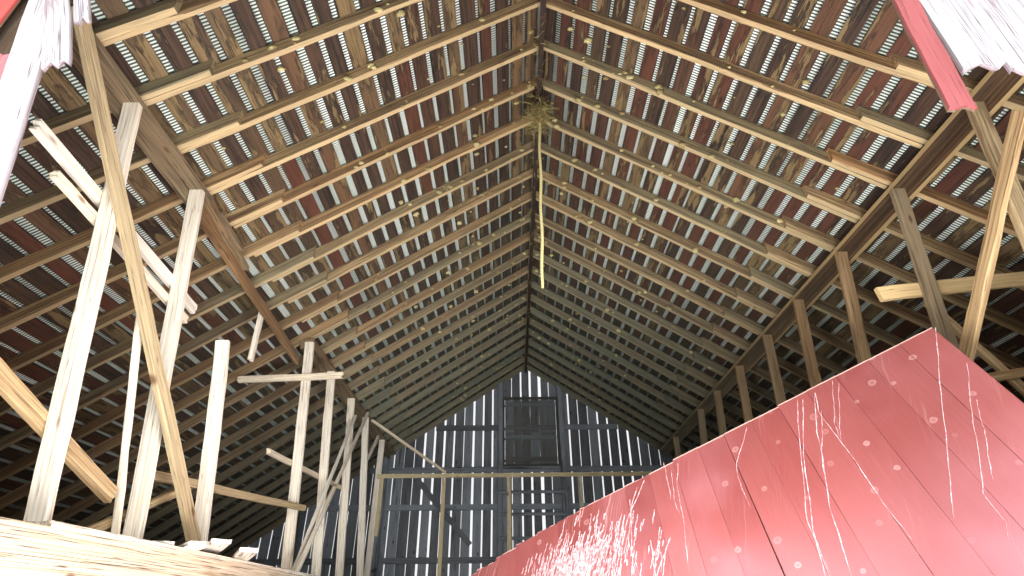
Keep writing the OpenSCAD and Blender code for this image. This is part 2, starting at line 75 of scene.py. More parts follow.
# Sizes of the barn's solids that the finer pieces repeat, in metres, with the roof's pitch in radians
barn = {"bay": 0.457, "bays": 22, "pitch": math.radians(33.7), "plateTop": 2.550, "plateOut": 6.070,
        "plateDepth": 0.125, "rafterDepth": 0.110, "rafterHalf": 0.0225, "rafterLap": 0.0453,
        "purlinOut": 2.735, "purlinLap": 0.350, "wall": 6.170, "eaveOut": 0.300, "gableOut": 0.170,
        "board": 0.025, "boardPitch": 0.206, "boardFoot": 0.190, "opening": 2.740, "sheath": 0.0225}
bay, bays, pitch = barn["bay"], barn["bays"], barn["pitch"]
rise = math.tan(pitch)
ridgeUnder = barn["plateTop"] + barn["plateOut"] * rise
rafterRise = barn["rafterDepth"] / math.cos(pitch)
halfLength = (bays * bay + 2 * barn["rafterHalf"]) / 2
roofLength = 2 * (halfLength + barn["gableOut"])
roofHalf = barn["wall"] + barn["eaveOut"]
hayDoor = {"middle": 0.080, "half": 0.550, "clear": 0.005, "low": ridgeUnder - 2.130,
           "high": ridgeUnder - 0.730, "lowLeaf": 0.670, "board": 0.185, "ledge": 0.090, "ledgeIn": 0.060,
           "strap": 0.045, "strapThick": 0.005, "strapFrom": -0.695, "strapTo": -0.275}
noiseLook = {"growth": 2.1, "fade": 0.6, "lift": 1.4}


def smoothNoise(rng, shape, where, waves=4, first=1.0):
    # sum of sines of rising frequency and random phase, each weaker than the one before; about -1..1
    total = np.zeros(shape + (len(where),))
    weight = 0.0
    for wave in range(waves):
        strength = noiseLook["fade"] ** wave
        phase = rng.random(shape + (1,)) * fullTurn
        speed = first * noiseLook["growth"] ** wave * (0.8 + 0.4 * rng.random(shape + (1,)))
        total += strength * np.sin(speed * where * fullTurn + phase)
        weight += strength
    return total / weight * noiseLook["lift"]


def spotsOf(x, y, z):
    # points from arrays or numbers for each axis
    return np.stack(np.broadcast_arrays(x, y, z), -1).astype(float)


def toneOf(rng, points):
    # three random numbers for each board, stone or blade, repeated over its points
    return np.broadcast_to(rng.random((len(points), 1, 1, 3)), points.shape)


def makeMesh(name, points, faces, attributes=None, smooth=False, joined=False):
    # whole arrays of points and faces become a mesh at the world origin; joined makes one point of
    # those that coincide, as at the poles of a sphere grid
    mesh = bpy.data.meshes.new(name)
    mesh.from_pydata(points.reshape(-1, 3).tolist(), [], faces.tolist())
    for key, values in (attributes or {}).items():
        layer = mesh.attributes.new(key, "FLOAT_VECTOR", "POINT")
        layer.data.foreach_set("vector", np.ascontiguousarray(values, dtype=np.float32).ravel())
    if joined:
        form = bmesh.new()
        form.from_mesh(mesh)
        bmesh.ops.remove_doubles(form, verts=form.verts, dist=1e-6)
        form.to_mesh(mesh)
        form.free()
    mesh.polygons.foreach_set("use_smooth", np.full(len(mesh.polygons), smooth))
    mesh.update()
    made = bpy.data.objects.new(name, mesh)
    scene.collection.objects.link(made)
    return made


def gridFaces(count, rows, columns):
    # quads of count separate tubes of rows by columns points, each column joined to the next and the
    # last to the first
    row, column = np.meshgrid(np.arange(rows - 1), np.arange(columns), indexing="ij")
    after = (column + 1) % columns
    quads = np.stack([row * columns + column, row * columns + after,
                      (row + 1) * columns + after, (row + 1) * columns + column], -1).reshape(-1, 4)
    return (quads[None] + (np.arange(count) * rows * columns)[:, None, None]).reshape(-1, 4)


def stripFaces(count, rows):
    # faces of count four-sided strips with rows stations and closed ends
    first = (np.arange(count) * rows * 4)[:, None] + np.arange(4)
    return np.concatenate([gridFaces(count, rows, 4)[:, ::-1], first, first[:, ::-1] + (rows - 1) * 4])


def sphereWays(rows, columns):
    # directions on a grid of tilt from pole to pole and turn about the upright
    tilt = np.linspace(0, np.pi, rows)[:, None]
    turn = np.linspace(0, fullTurn, columns, endpoint=False)[None]
    return spotsOf(np.sin(tilt) * np.cos(turn), np.sin(tilt) * np.sin(turn), np.cos(tilt))


def finishPiece(made, material, slot, *replaced):
    # a piece gets its material and its body, and the CAD nodes that it stands for are hidden
    made.data.materials.append(material)
    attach(made, "root")
    if replaced:
        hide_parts(*replaced)
    return made


# The rope's route repeats the solids' route
ropeLook = {"diameter": 0.030, "exit": (0.0, -2.620, 6.3229), "strands": 3, "turn": 0.11, "ringStep": 0.008,
            "sides": 24, "groove": 0.22, "fray": 0.16, "frayLoss": 0.45, "tips": (0.3, 0.15), "seed": 5}
ropeRoute = np.array([
    (0, -2620, 6250), (2, -2616, 6170), (2, -2616, 6090), (0, -2618, 6010), (-5, -2619, 5930),
    (-10, -2621, 5850), (-14, -2623, 5770), (-16, -2624, 5690), (-16, -2624, 5610), (-14, -2623, 5530),
    (-13, -2621, 5450), (-13, -2619, 5370), (-15, -2617, 5290), (-19, -2616, 5210), (-24, -2616, 5130),
    (-28, -2617, 5050), (-30, -2618, 4970), (-30, -2620, 4890), (-29, -2622, 4810), (-27, -2624, 4730),
    (-27, -2624, 4650), (-29, -2624, 4570), (-34, -2622, 4490), (-39, -2620, 4410), (-43, -2618, 4330),
    (-45, -2617, 4250), (-44, -2616, 4170), (-42, -2616, 4090)], dtype=float) / 1000.0
ropeRoute += np.array(ropeLook["exit"]) - ropeRoute[0]


def makeRope(look, route):
    # a round section with lobes, one a strand, turned steadily along the route: radius = half the
    # diameter less a share of (1 - |cos|) of the strand angle; the last part frays by a growing noise
    rng = np.random.default_rng(look["seed"])
    sides = look["sides"]
    lengths = np.concatenate([[0], np.cumsum(np.linalg.norm(np.diff(route, axis=0), axis=1))])
    total = lengths[-1]
    along = np.linspace(0, total, int(total / look["ringStep"]))
    centre = np.stack([np.interp(along, lengths, route[:, k]) for k in range(3)], -1)
    around = np.linspace(0, fullTurn, sides, endpoint=False)
    twist = along[:, None] / look["turn"] * fullTurn
    lobe = np.abs(np.cos((around[None] - twist) * look["strands"] / 2))
    radius = look["diameter"] / 2 * (1 - look["groove"] + look["groove"] * lobe)
    fray = np.clip((along - total + look["fray"]) / look["fray"], 0, 1)[:, None]
    radius = radius * (1 - look["frayLoss"] * fray * np.abs(smoothNoise(rng, (sides,), along, 3, 9)).T)
    radius[0] *= look["tips"][0]
    radius[-1] *= look["tips"][1]
    points = centre[:, None] + radius[..., None] * spotsOf(np.cos(around), np.sin(around), 0)[None]
    left = np.arange(sides // 2)
    right = sides - 1 - left
    cap = np.stack([left[:-1], left[1:], right[1:], right[:-1]], -1)
    faces = [gridFaces(1, len(along), sides), cap[:, ::-1], cap + (len(along) - 1) * sides]
    place = spotsOf(along[:, None], around[None] / fullTurn, lobe)
    return makeMesh("hayRope", points, np.concatenate(faces), {"ropePos": place.reshape(-1, 3)}, True)


class Wire:
    # a shader socket that takes part in sums: each operator adds its Math node
    def __init__(self, kit, socket):
        self.kit = kit
        self.socket = socket

    def __add__(self, other):
        return self.kit.math("ADD", self, other)

    def __radd__(self, other):
        return self.kit.math("ADD", other, self)

    def __sub__(self, other):
        return self.kit.math("SUBTRACT", self, other)

    def __rsub__(self, other):
        return self.kit.math("SUBTRACT", other, self)

    def __mul__(self, other):
        return self.kit.math("MULTIPLY", self, other)

    def __rmul__(self, other):
        return self.kit.math("MULTIPLY", other, self)

    def __gt__(self, other):
        return self.kit.math("GREATER_THAN", self, other)

    def sine(self):
        return self.kit.math("SINE", self)

    def size(self):
        return self.kit.math("ABSOLUTE", self)

    def clip(self):
        return self.kit.math("ADD", self, 0.0, clamp=True)

    def step(self, low, high):
        # 0 below low, 1 above high, smooth between
        return self.kit.add("ShaderNodeMapRange", {"interpolation_type": "SMOOTHSTEP"},
                            {"Value": self, "From Min": low, "From Max": high})["Result"]


class Kit:
    # one material's nodes
    def __init__(self, name):
        self.material = bpy.data.materials.new(name)
        self.material.use_nodes = True
        self.tree = self.material.node_tree
        self.shader = self.tree.nodes["Principled BSDF"]

    def plug(self, socket, value):
        if isinstance(value, Wire):
            self.tree.links.new(value.socket, socket)
        elif isinstance(value, (tuple, list)) and len(value) == 3 and len(socket.default_value) == 4:
            socket.default_value = tuple(value) + (1.0,)
        else:
            socket.default_value = value

    def add(self, kind, settings, sockets):
        # any node: its type, its settings and the values or links of its sockets
        node = self.tree.nodes.new(kind)
        for key, value in settings.items():
            setattr(node, key, value)
        pairs = sockets.items() if isinstance(sockets, dict) else enumerate(sockets)
        for key, value in pairs:
            self.plug(node.inputs[key], value)
        return {out.name: Wire(self, out) for out in node.outputs if out.enabled}

    def math(self, operation, *values, clamp=False):
        return self.add("ShaderNodeMath", {"operation": operation, "use_clamp": clamp}, values)["Value"]

    def vector(self, operation, first, second):
        outs = self.add("ShaderNodeVectorMath", {"operation": operation}, (first, second))
        return outs["Value" if operation == "DOT_PRODUCT" else "Vector"]

    def mix(self, first, second, amount):
        return self.add("ShaderNodeMix", {"data_type": "RGBA", "clamp_factor": True},
                        {0: amount, 6: first, 7: second})["Result"]

    def blend(self, first, second, amount):
        # between two written colours
        return self.mix(ink(first), ink(second), amount)

    def tint(self, colour, over, amount):
        # a written colour over what is there
        return self.mix(colour, ink(over), amount)

    def attribute(self, name):
        return self.add("ShaderNodeAttribute", {"attribute_name": name}, {})["Vector"]

    def objectPlace(self):
        return self.add("ShaderNodeTexCoord", {}, {})["Object"]

    def axes(self, vector):
        parts = self.add("ShaderNodeSeparateXYZ", {}, (vector,))
        return parts["X"], parts["Y"], parts["Z"]

    def join(self, x, y, z):
        return self.add("ShaderNodeCombineXYZ", {}, (x, y, z))["Vector"]

    def noise(self, vector, scale, detail=3.0, rough=0.55):
        scale = scale if isinstance(scale, tuple) else (scale,) * 3
        sockets = {"Vector": self.vector("MULTIPLY", vector, scale), "Scale": 1.0, "Detail": detail,
                   "Roughness": rough}
        return self.add("ShaderNodeTexNoise", {}, sockets)["Fac"]

    def cells(self, vector, scale, dimensions="3D"):
        return self.add("ShaderNodeTexVoronoi", {"voronoi_dimensions": dimensions},
                        {"Vector": self.vector("MULTIPLY", vector, scale), "Scale": 1.0})

    def bump(self, height, depth):
        return self.add("ShaderNodeBump", {}, {"Height": height, "Distance": depth})["Normal"]

    def finish(self, colour, roughness, normal=None, metallic=None):
        for name, value in (("Base Color", colour), ("Roughness", roughness), ("Metallic", metallic),
                            ("Normal", normal)):
            if value is not None:
                self.plug(self.shader.inputs[name], value)
        return self.material


def ink(colour):
    # a colour as the eye reads it, 0 to 255, to scene values
    return tuple(((c / 255 + 0.055) / 1.055) ** 2.4 if c > 10 else c / 255 / 12.92 for c in colour)


def variant(base, **changes):
    return {**base, **changes}


def grainOf(kit, alongAxis):
    # the place along, across and through the grain and three tones of the piece: from the boards'
    # own attributes, or along an axis of the object's place where a CAD node keeps its mesh
    if alongAxis is None:
        return kit.attribute("boardPos"), kit.axes(kit.attribute("boardTone"))
    x, y, z = kit.axes(kit.objectPlace())
    place = kit.join(*{"y": (y, x, z), "z": (z, x, y)}[alongAxis])
    scales = ((0.15, 1.3, 1.3), (0.2, 1.9, 1.7), (0.25, 2.3, 1.9))
    return place, [kit.noise(place, scale, 0.0) for scale in scales]


def crackLines(kit, place, scale, detail, width, rough=0.55):
    # thin lines where a stretched noise passes its middle
    return 1 - (kit.noise(place, scale, detail, rough) - 0.5).size().step(0.0, width)


def fromMiddle(kit):
    # how far across its board a point lies from the middle, 0 to 0.5
    return (kit.axes(kit.attribute("boardUnit"))[1] - 0.5).size()


def woodMaterial(name, look, alongAxis=None):
    # long-grained wood: growth rings as the sine of the cross position plus a slow warp, fine fibres,
    # knots where stretched cells come close to their centres, grey weathering, dark stains, dust mixed with
    # painted light and shade from front to back, and a painted highlight on the edge faces
    kit = Kit(name)
    place, (toneA, toneB, toneC) = grainOf(kit, alongAxis)
    across, through = kit.axes(place)[1:]
    warp = kit.noise(place, (0.7, 7, 7), 1.0)
    ringPlace = across * look["ringScale"] + through * (look["ringScale"] * 0.6) + warp * look["ringWarp"]
    rings = (ringPlace * fullTurn).sine() * 0.5 + 0.5
    fibre = kit.noise(place, (5, 330, 330), 2.0)
    streak = kit.noise(place, (1.1, 55, 55), 3.0, 0.6)
    blotch = kit.noise(place, (1.3, 5, 5), 3.0, 0.6)
    grain = rings * 0.35 + (streak - 0.5) * (0.9 * look["contrast"]) + 0.33
    colour = kit.blend(look["dark"], look["light"], grain.clip())
    colour = kit.tint(colour, look["warm"], (toneA.step(0.35, 0.9) * 0.6 + (blotch - 0.5) * 0.8).clip())
    greyed = (toneB - 1 + look["weather"]).step(-0.15, 0.35) * 0.75 + (blotch - 0.42) * look["weather"] * 1.6
    colour = kit.tint(colour, look["grey"], greyed.clip())
    if look["patch"]:
        colour = waneyPatches(kit, look, colour, place, toneB, streak)
    if look["band"]:
        band = kit.noise(place, (0.3, 20, 17), 2.0).step(0.47, 0.57)
        colour = kit.tint(colour, look["stainColour"], band * look["band"])
    stain = kit.noise(place, (0.9, 11, 9), 3.0, 0.65).step(0.62 - 0.16 * look["stain"], 0.78)
    colour = kit.tint(colour, look["stainColour"], stain * 0.8)
    knot = kit.cells(place, (3.1, 8.5, 0.9))
    knotMask = (1 - knot["Distance"].step(0.05, look["knot"])) * (kit.axes(knot["Color"])[0] > 0.45)
    colour = kit.tint(colour, look["knotColour"], knotMask * 0.85)
    cracks = crackLines(kit, place, (0.8, 70, 70), 2.0, look["crackWidth"], 0.5)
    colour = kit.tint(colour, look["crackColour"], cracks * look["cracks"])
    if look["bark"]:
        rim = fromMiddle(kit) + (kit.noise(place, (2.2, 14, 14), 3.0, 0.6) - 0.5) * 0.42
        colour = kit.tint(colour, look["crackColour"], rim.step(0.44, 0.56) * look["bark"])
    if look["paleEdge"]:
        # pale narrow faces: partly paler wood, partly a painted highlight along the edges
        colour = kit.tint(colour, look["edgeColour"], fromMiddle(kit).step(0.485, 0.5) * look["paleEdge"])
    if look["backDust"]:
        # dust and painted light and shade by depth: from the front to the back each wood moves towards its
        # far colour, darker and greener on the rafters, greener on the sheathing, paler on the purlins and
        # posts
        depth = kit.axes(kit.objectPlace())[1]
        dust = depth.step(-3.5, 4.0) * look["backDust"] + (kit.noise(place, (2.5, 12, 12), 2.0) - 0.5) * 0.25
        colour = kit.tint(colour, look["dustColour"], dust.clip())
    if look["lowShade"]:
        aside = kit.axes(kit.objectPlace())[0].size()
        colour = kit.tint(colour, look["stainColour"], aside.step(2.6, 3.5) * look["lowShade"])
    value = look["value"] + toneC * 0.28 + (fibre - 0.5) * 0.5
    colour = kit.tint(colour, (0, 0, 0), (1 - value).clip())
    height = streak * 0.5 + fibre * 0.3 - cracks * 0.8
    return kit.finish(colour, 0.72 + (streak - 0.5) * 0.25, kit.bump(height, 0.0022))


def waneyPatches(kit, look, colour, place, toneB, streak):
    # patches left by bark: a dark rim, the patch itself and pale wood in its middle
    waney = kit.noise(place, (1.3, 8, 8), 5.0, 0.7) + (toneB - 0.5) * 0.10
    colour = kit.tint(colour, look["crackColour"], waney.step(0.50, 0.56) * look["patch"])
    colour = kit.tint(colour, look["patchColour"], waney.step(0.535, 0.60) * look["patch"])
    pale = waney.step(0.60, 0.66) * streak.step(0.45, 0.6)
    return kit.tint(colour, look["light"], pale * (look["patch"] * 0.6))


freshTan = {"dark": (170, 130, 82), "light": (222, 188, 136), "warm": (196, 140, 76),
            "grey": (168, 152, 126), "stainColour": (112, 82, 52), "knotColour": (96, 58, 30),
            "crackColour": (62, 44, 30), "ringScale": 34, "ringWarp": 3.2, "weather": 0.28, "stain": 0.4,
            "knot": 0.17, "cracks": 0.7, "crackWidth": 0.013, "contrast": 1.0, "value": 0.86, "patch": 0,
            "band": 0, "bark": 0, "paleEdge": 0, "backDust": 0, "lowShade": 0}
woods = {
    "rafter": woodMaterial("rafterWood", variant(
        freshTan, dark=(126, 94, 58), light=(222, 190, 138), warm=(190, 130, 70), grey=(144, 136, 104),
        weather=0.48, stain=0.9, stainColour=(84, 56, 36), contrast=2.8, cracks=0.9, crackWidth=0.024,
        crackColour=(44, 30, 22), paleEdge=0.6, edgeColour=(236, 208, 158), band=0.5, lowShade=0.32,
        backDust=0.72, dustColour=(110, 120, 106))),
    # dark boards: their own dark wood, darkened further as painted shade between the rafters
    "sheathing": woodMaterial("sheathingWood", variant(
        freshTan, dark=(38, 28, 24), light=(86, 64, 48), warm=(104, 52, 36), grey=(130, 108, 74),
        stainColour=(28, 22, 20), knotColour=(26, 20, 18), crackColour=(18, 14, 13), stain=0.8, ringScale=22,
        weather=0.26, contrast=2.7, patch=0.78, patchColour=(148, 124, 84), bark=0.85, backDust=0.6,
        dustColour=(60, 72, 66))),
    "purlin": woodMaterial("purlinWood", variant(
        freshTan, dark=(84, 62, 42), light=(180, 146, 102), warm=(146, 98, 58), grey=(146, 130, 102),
        stain=0.95, contrast=3.0, cracks=1.0, crackWidth=0.03, stainColour=(62, 42, 28),
        crackColour=(34, 24, 18), weather=0.5, backDust=0.5, dustColour=(128, 122, 100))),
    # the right purlin: the purlin wood darkened as painted shade, paled towards the back by the dust and
    # shading tint
    "darkPurlin": woodMaterial("darkPurlinWood", variant(
        freshTan, dark=(56, 38, 28), light=(128, 96, 64), warm=(104, 58, 38), grey=(104, 88, 64), stain=0.9,
        contrast=2.6, band=0.45, cracks=0.9, stainColour=(40, 28, 22), crackColour=(26, 18, 15), weather=0.32,
        paleEdge=0.8, edgeColour=(206, 176, 124), backDust=0.85, dustColour=(146, 140, 116))),
    "rail": woodMaterial("railWood", variant(
        freshTan, dark=(176, 166, 132), light=(238, 230, 196), warm=(208, 186, 136), grey=(196, 192, 172),
        contrast=1.8)),
    # near-white wood for the left posts and sticks: pale weathered wood, made whiter still as painted light
    "postWhite": woodMaterial("bleachedWood", variant(
        freshTan, dark=(226, 208, 178), light=(255, 251, 238), warm=(240, 214, 170), grey=(246, 240, 226),
        stain=0.12, stainColour=(206, 172, 124), knotColour=(140, 94, 58), crackColour=(140, 104, 72),
        crackWidth=0.018, contrast=2.0, value=0.9)),
    "stickTan": woodMaterial("tanStickWood", variant(
        freshTan, dark=(146, 112, 72), light=(226, 202, 156), warm=(188, 142, 88), grey=(186, 168, 132),
        stain=0.5, contrast=2.4, crackWidth=0.02, stainColour=(116, 82, 52))),
    "stickPale": woodMaterial("paleStickWood", variant(
        freshTan, dark=(206, 178, 126), light=(246, 226, 180), warm=(226, 186, 124), grey=(222, 204, 164),
        stain=0.3, contrast=2.0)),
    "postTan": woodMaterial("postWood", variant(
        freshTan, dark=(132, 108, 78), light=(214, 188, 144), warm=(172, 130, 86), grey=(168, 154, 126),
        stain=0.6, contrast=2.4, crackWidth=0.02, stainColour=(98, 78, 58), backDust=0.5,
        dustColour=(176, 164, 134))),
    "frame": woodMaterial("frameWood", variant(
        freshTan, dark=(94, 76, 58), light=(140, 118, 92), warm=(120, 88, 60), grey=(120, 112, 100),
        weather=0.5, stain=0.6)),
    "floor": woodMaterial("floorWood", variant(
        freshTan, dark=(190, 174, 150), light=(244, 238, 226), warm=(214, 184, 142), grey=(230, 226, 216),
        weather=0.6, stain=0.5, stainColour=(146, 112, 76), contrast=2.4, cracks=0.9, crackWidth=0.024,
        value=0.82)),
    "backWall": woodMaterial("backWallWood", variant(
        freshTan, dark=(70, 75, 82), light=(130, 134, 138), warm=(84, 84, 84), grey=(150, 158, 166),
        weather=0.6, stain=0.6, stainColour=(34, 34, 34), knotColour=(26, 24, 22), crackColour=(20, 20, 20))),
    "hayDoor": woodMaterial("hayDoorWood", variant(
        freshTan, dark=(78, 82, 82), light=(126, 130, 128), warm=(94, 90, 84), grey=(122, 130, 134),
        weather=0.5, stain=0.5, stainColour=(46, 48, 48), knotColour=(36, 36, 36), crackColour=(22, 24, 24))),
    "doorFrame": woodMaterial("doorFrameWood", variant(
        freshTan, dark=(52, 52, 50), light=(92, 92, 88), warm=(70, 66, 60), grey=(90, 96, 98), weather=0.5,
        stain=0.6), "z"),
    "framing": woodMaterial("framingWoodY", variant(
        freshTan, dark=(92, 74, 56), light=(138, 116, 90), warm=(120, 88, 60), grey=(122, 114, 100),
        weather=0.5, stain=0.6), "y"),
}


def paintMaterial(name, look):
    # worn paint over long-grained boards: paint only on the outer face, thin along the edges, in
    # long flakes and at the torn ends, with faded streaks down each board and a little dirt
    kit = Kit(name)
    place = kit.attribute("boardPos")
    toneA, toneB, toneC = kit.axes(kit.attribute("boardTone"))
    outwards = kit.axes(kit.attribute("boardUnit"))[2]
    streak = kit.noise(place, (1.1, 50, 50), 4.0, 0.6)
    fibre = kit.noise(place, (5, 320, 320), 2.0)
    blotch = kit.noise(place, (1.6, 4.5, 4.5), 4.0, 0.6)
    bare = kit.blend(look["bareDark"], look["bareLight"], (streak * 1.1 + (toneB - 0.5) * 0.3).clip())
    stain = kit.noise(place, (0.9, 13, 11), 5.0, 0.65).step(0.55, 0.75)
    bare = kit.tint(bare, look["bareStain"], stain * 0.7)
    paint = kit.blend(look["paintDeep"], look["paintPale"],
                      (toneA * 0.5 + blotch * 0.7 - 0.12 + (streak - 0.5) * 0.3).clip())
    dirt = kit.noise(place, (0.6, 24, 24), 4.0, 0.6).step(0.56, 0.8)
    paint = kit.tint(paint, look["dirt"], dirt * 0.35)
    worn = kit.noise(place, (2.2, 34, 34), 5.0, 0.65)
    cover = (worn + look["cover"] + (blotch - 0.5) * 0.5).step(0.42, 0.5) * outwards.step(0.3, 0.6)
    colour = kit.mix(bare, paint, cover)
    cracks = crackLines(kit, place, look["crackScale"], 3.0, look["crackWidth"])
    colour = kit.tint(colour, look["crack"], cracks * look["cracks"])
    colour = kit.tint(colour, (0, 0, 0), (0.1 - (fibre - 0.5) * 0.45 - toneC * 0.1).clip())
    height = streak * 0.4 + fibre * 0.25 + cover * 0.35 - cracks * min(0.8, look["cracks"] * 1.6)
    return kit, colour, height, cover


redLook = {"paintDeep": (150, 46, 44), "paintPale": (206, 92, 84), "bareDark": (86, 68, 54),
           "bareLight": (150, 128, 104), "bareStain": (54, 42, 36), "dirt": (96, 40, 38),
           "crack": (60, 22, 22), "cover": 0.12, "cracks": 0.5, "crackWidth": 0.009,
           "crackScale": (0.7, 60, 60)}


def paintedBoards(name, look):
    kit, colour, height, cover = paintMaterial(name, look)
    return kit.finish(colour, 0.6 + 0.2 * (1 - cover), kit.bump(height, 0.0016))


paints = {
    "wall": paintedBoards("barnRed", redLook),
    "white": paintedBoards("wornWhitePaint", variant(
        redLook, paintDeep=(186, 180, 186), paintPale=(204, 202, 206), bareDark=(150, 124, 128),
        bareLight=(188, 174, 178), bareStain=(134, 104, 110), dirt=(186, 172, 178), crack=(84, 62, 66),
        cracks=0.85, crackWidth=0.016, crackScale=(0.4, 38, 60))),
    "hangingRed": paintedBoards("tornRed", variant(
        redLook, paintDeep=(138, 58, 60), paintPale=(184, 102, 104), cover=0.2)),
    "pink": paintedBoards("fadedRed", variant(
        redLook, paintDeep=(206, 112, 118), paintPale=(232, 150, 156), cover=0.3)),
}
print("materials ready")


def solidsOf(name):
    # the corners of each separate solid of a CAD node, found by joining the triangles that share points
    mesh = nodes[name].data
    flat = np.zeros(len(mesh.vertices) * 3)
    mesh.vertices.foreach_get("co", flat)
    spots, index = np.unique(np.round(flat.reshape(-1, 3), 5), axis=0, return_inverse=True)
    index = index.ravel()
    mesh.calc_loop_triangles()
    corners = np.zeros(len(mesh.loop_triangles) * 3, dtype=np.int32)
    mesh.loop_triangles.foreach_get("vertices", corners)
    triangles = index[corners.reshape(-1, 3)]
    label = np.arange(len(spots))
    while True:
        low = label[triangles].min(axis=1)
        fresh = label.copy()
        np.minimum.at(fresh, triangles.ravel(), np.repeat(low, 3))
        if np.array_equal(fresh, label):
            break
        label = fresh
    return [spots[label == key] for key in np.unique(label)]


def planksOf(name, face=(0, 0, 1)):
    # each eight-cornered solid as two rings of four corners, one at each end; a ring starts with
    # its long side, and its second side points towards face
    rings = []
    for spots in solidsOf(name):
        if len(spots) != 8:
            continue
        middle = spots.mean(axis=0)
        axis = np.linalg.svd(spots - middle)[2][0]
        if axis[np.argmax(np.abs(axis))] < 0:
            axis = -axis
        order = np.argsort((spots - middle) @ axis)
        side = unit(np.cross(axis, (0, 0, 1) if abs(axis[2]) < 0.9 else (1, 0, 0)))
        other = np.cross(axis, side)
        pair = []
        for end in (spots[order[:4]], spots[order[4:]]):
            local = end - end.mean(axis=0)
            pair.append(end[np.argsort(np.arctan2(local @ other, local @ side))])
        first, last = pair
        away = first - first.mean(axis=0)
        offsets = [np.linalg.norm(np.roll(last, -k, axis=0) - last.mean(axis=0) - away) for k in range(4)]
        last = np.roll(last, -int(np.argmin(offsets)), axis=0)
        if np.linalg.norm(first[1] - first[0]) < np.linalg.norm(first[2] - first[1]):
            first, last = np.roll(first, -1, axis=0), np.roll(last, -1, axis=0)
        if (first[3] - first[0]) @ np.array(face) < 0:
            first, last = np.roll(first, -2, axis=0), np.roll(last, -2, axis=0)
        rings.append([first, last])
    return np.array(rings)


def wrongTurn(rings):
    # rings must run anticlockwise about their length, or the faces point inwards
    along = rings[:, 1].mean(1) - rings[:, 0].mean(1)
    turn = np.cross(rings[:, 0, 1] - rings[:, 0, 0], rings[:, 0, 3] - rings[:, 0, 0])
    return (turn * along).sum(-1) < 0


def fixTurn(rings):
    # mends a wrong turn by swapping the ends
    wrong = wrongTurn(rings)
    rings[wrong] = rings[wrong][:, ::-1]
    return rings


def fixOutward(rings):
    # mends a wrong turn by swapping corners, so that the ends and the outer face stay
    wrong = wrongTurn(rings)
    rings[wrong] = rings[wrong][:, :, [1, 0, 3, 2]]
    return rings


def boxPlanks(start, end, widthWay, thickWay, width, thick):
    # rings of plain boards from arrays of start and end centre points and two directions
    start, end = np.asarray(start, float), np.asarray(end, float)
    wide, deep = (np.broadcast_to(way, start.shape) * np.reshape(size, (-1, 1)) / 2
                  for way, size in ((widthWay, width), (thickWay, thick)))
    corners = [-wide - deep, wide - deep, wide + deep, deep - wide]
    ends = [np.stack([spot + corner for corner in corners], 1) for spot in (start, end)]
    return fixTurn(np.stack(ends, 1))


boardDefaults = {"stations": 16, "ease": 0.003, "wane": 0.0, "bow": 0.0, "wave": 0.0015, "torn": 0.0,
                 "cup": 0.0}
sectionLook = {"acrossFace": (0.27, 0.5, 0.74), "mates": [0, 1, 2, 3, 4, 5, 5, 4, 3, 2, 1, 0, 12, 12],
               "capLeft": [13, 0, 1, 2, 3, 4, 5], "capRight": [12, 11, 10, 9, 8, 7, 6],
               "easeMost": (0.2, 0.42), "grainShift": (37.0, 11.0, 9.0)}


def boardSection(ease, width, thick):
    # the fourteen points round a board as shares of its width and thickness: four eased corners, and
    # three points across each face between them
    easeA = np.clip(ease / width[:, None, None], 0.001, sectionLook["easeMost"][0])
    easeB = np.clip(ease * 0.8 / thick[:, None, None], 0.001, sectionLook["easeMost"][1])
    zero, one = np.zeros_like(easeA[:, 0]), np.ones_like(easeA[:, 0])
    face = [zero + share for share in sectionLook["acrossFace"]]
    a = np.stack([easeA[:, 0], *face, one - easeA[:, 1], one, one,
                  one - easeA[:, 2], *face[::-1], easeA[:, 3], zero, zero], -1)
    b = np.stack([zero] * 5 + [easeB[:, 1], one - easeB[:, 2]] + [one] * 5
                 + [one - easeB[:, 3], easeB[:, 0]], -1)
    return a, b


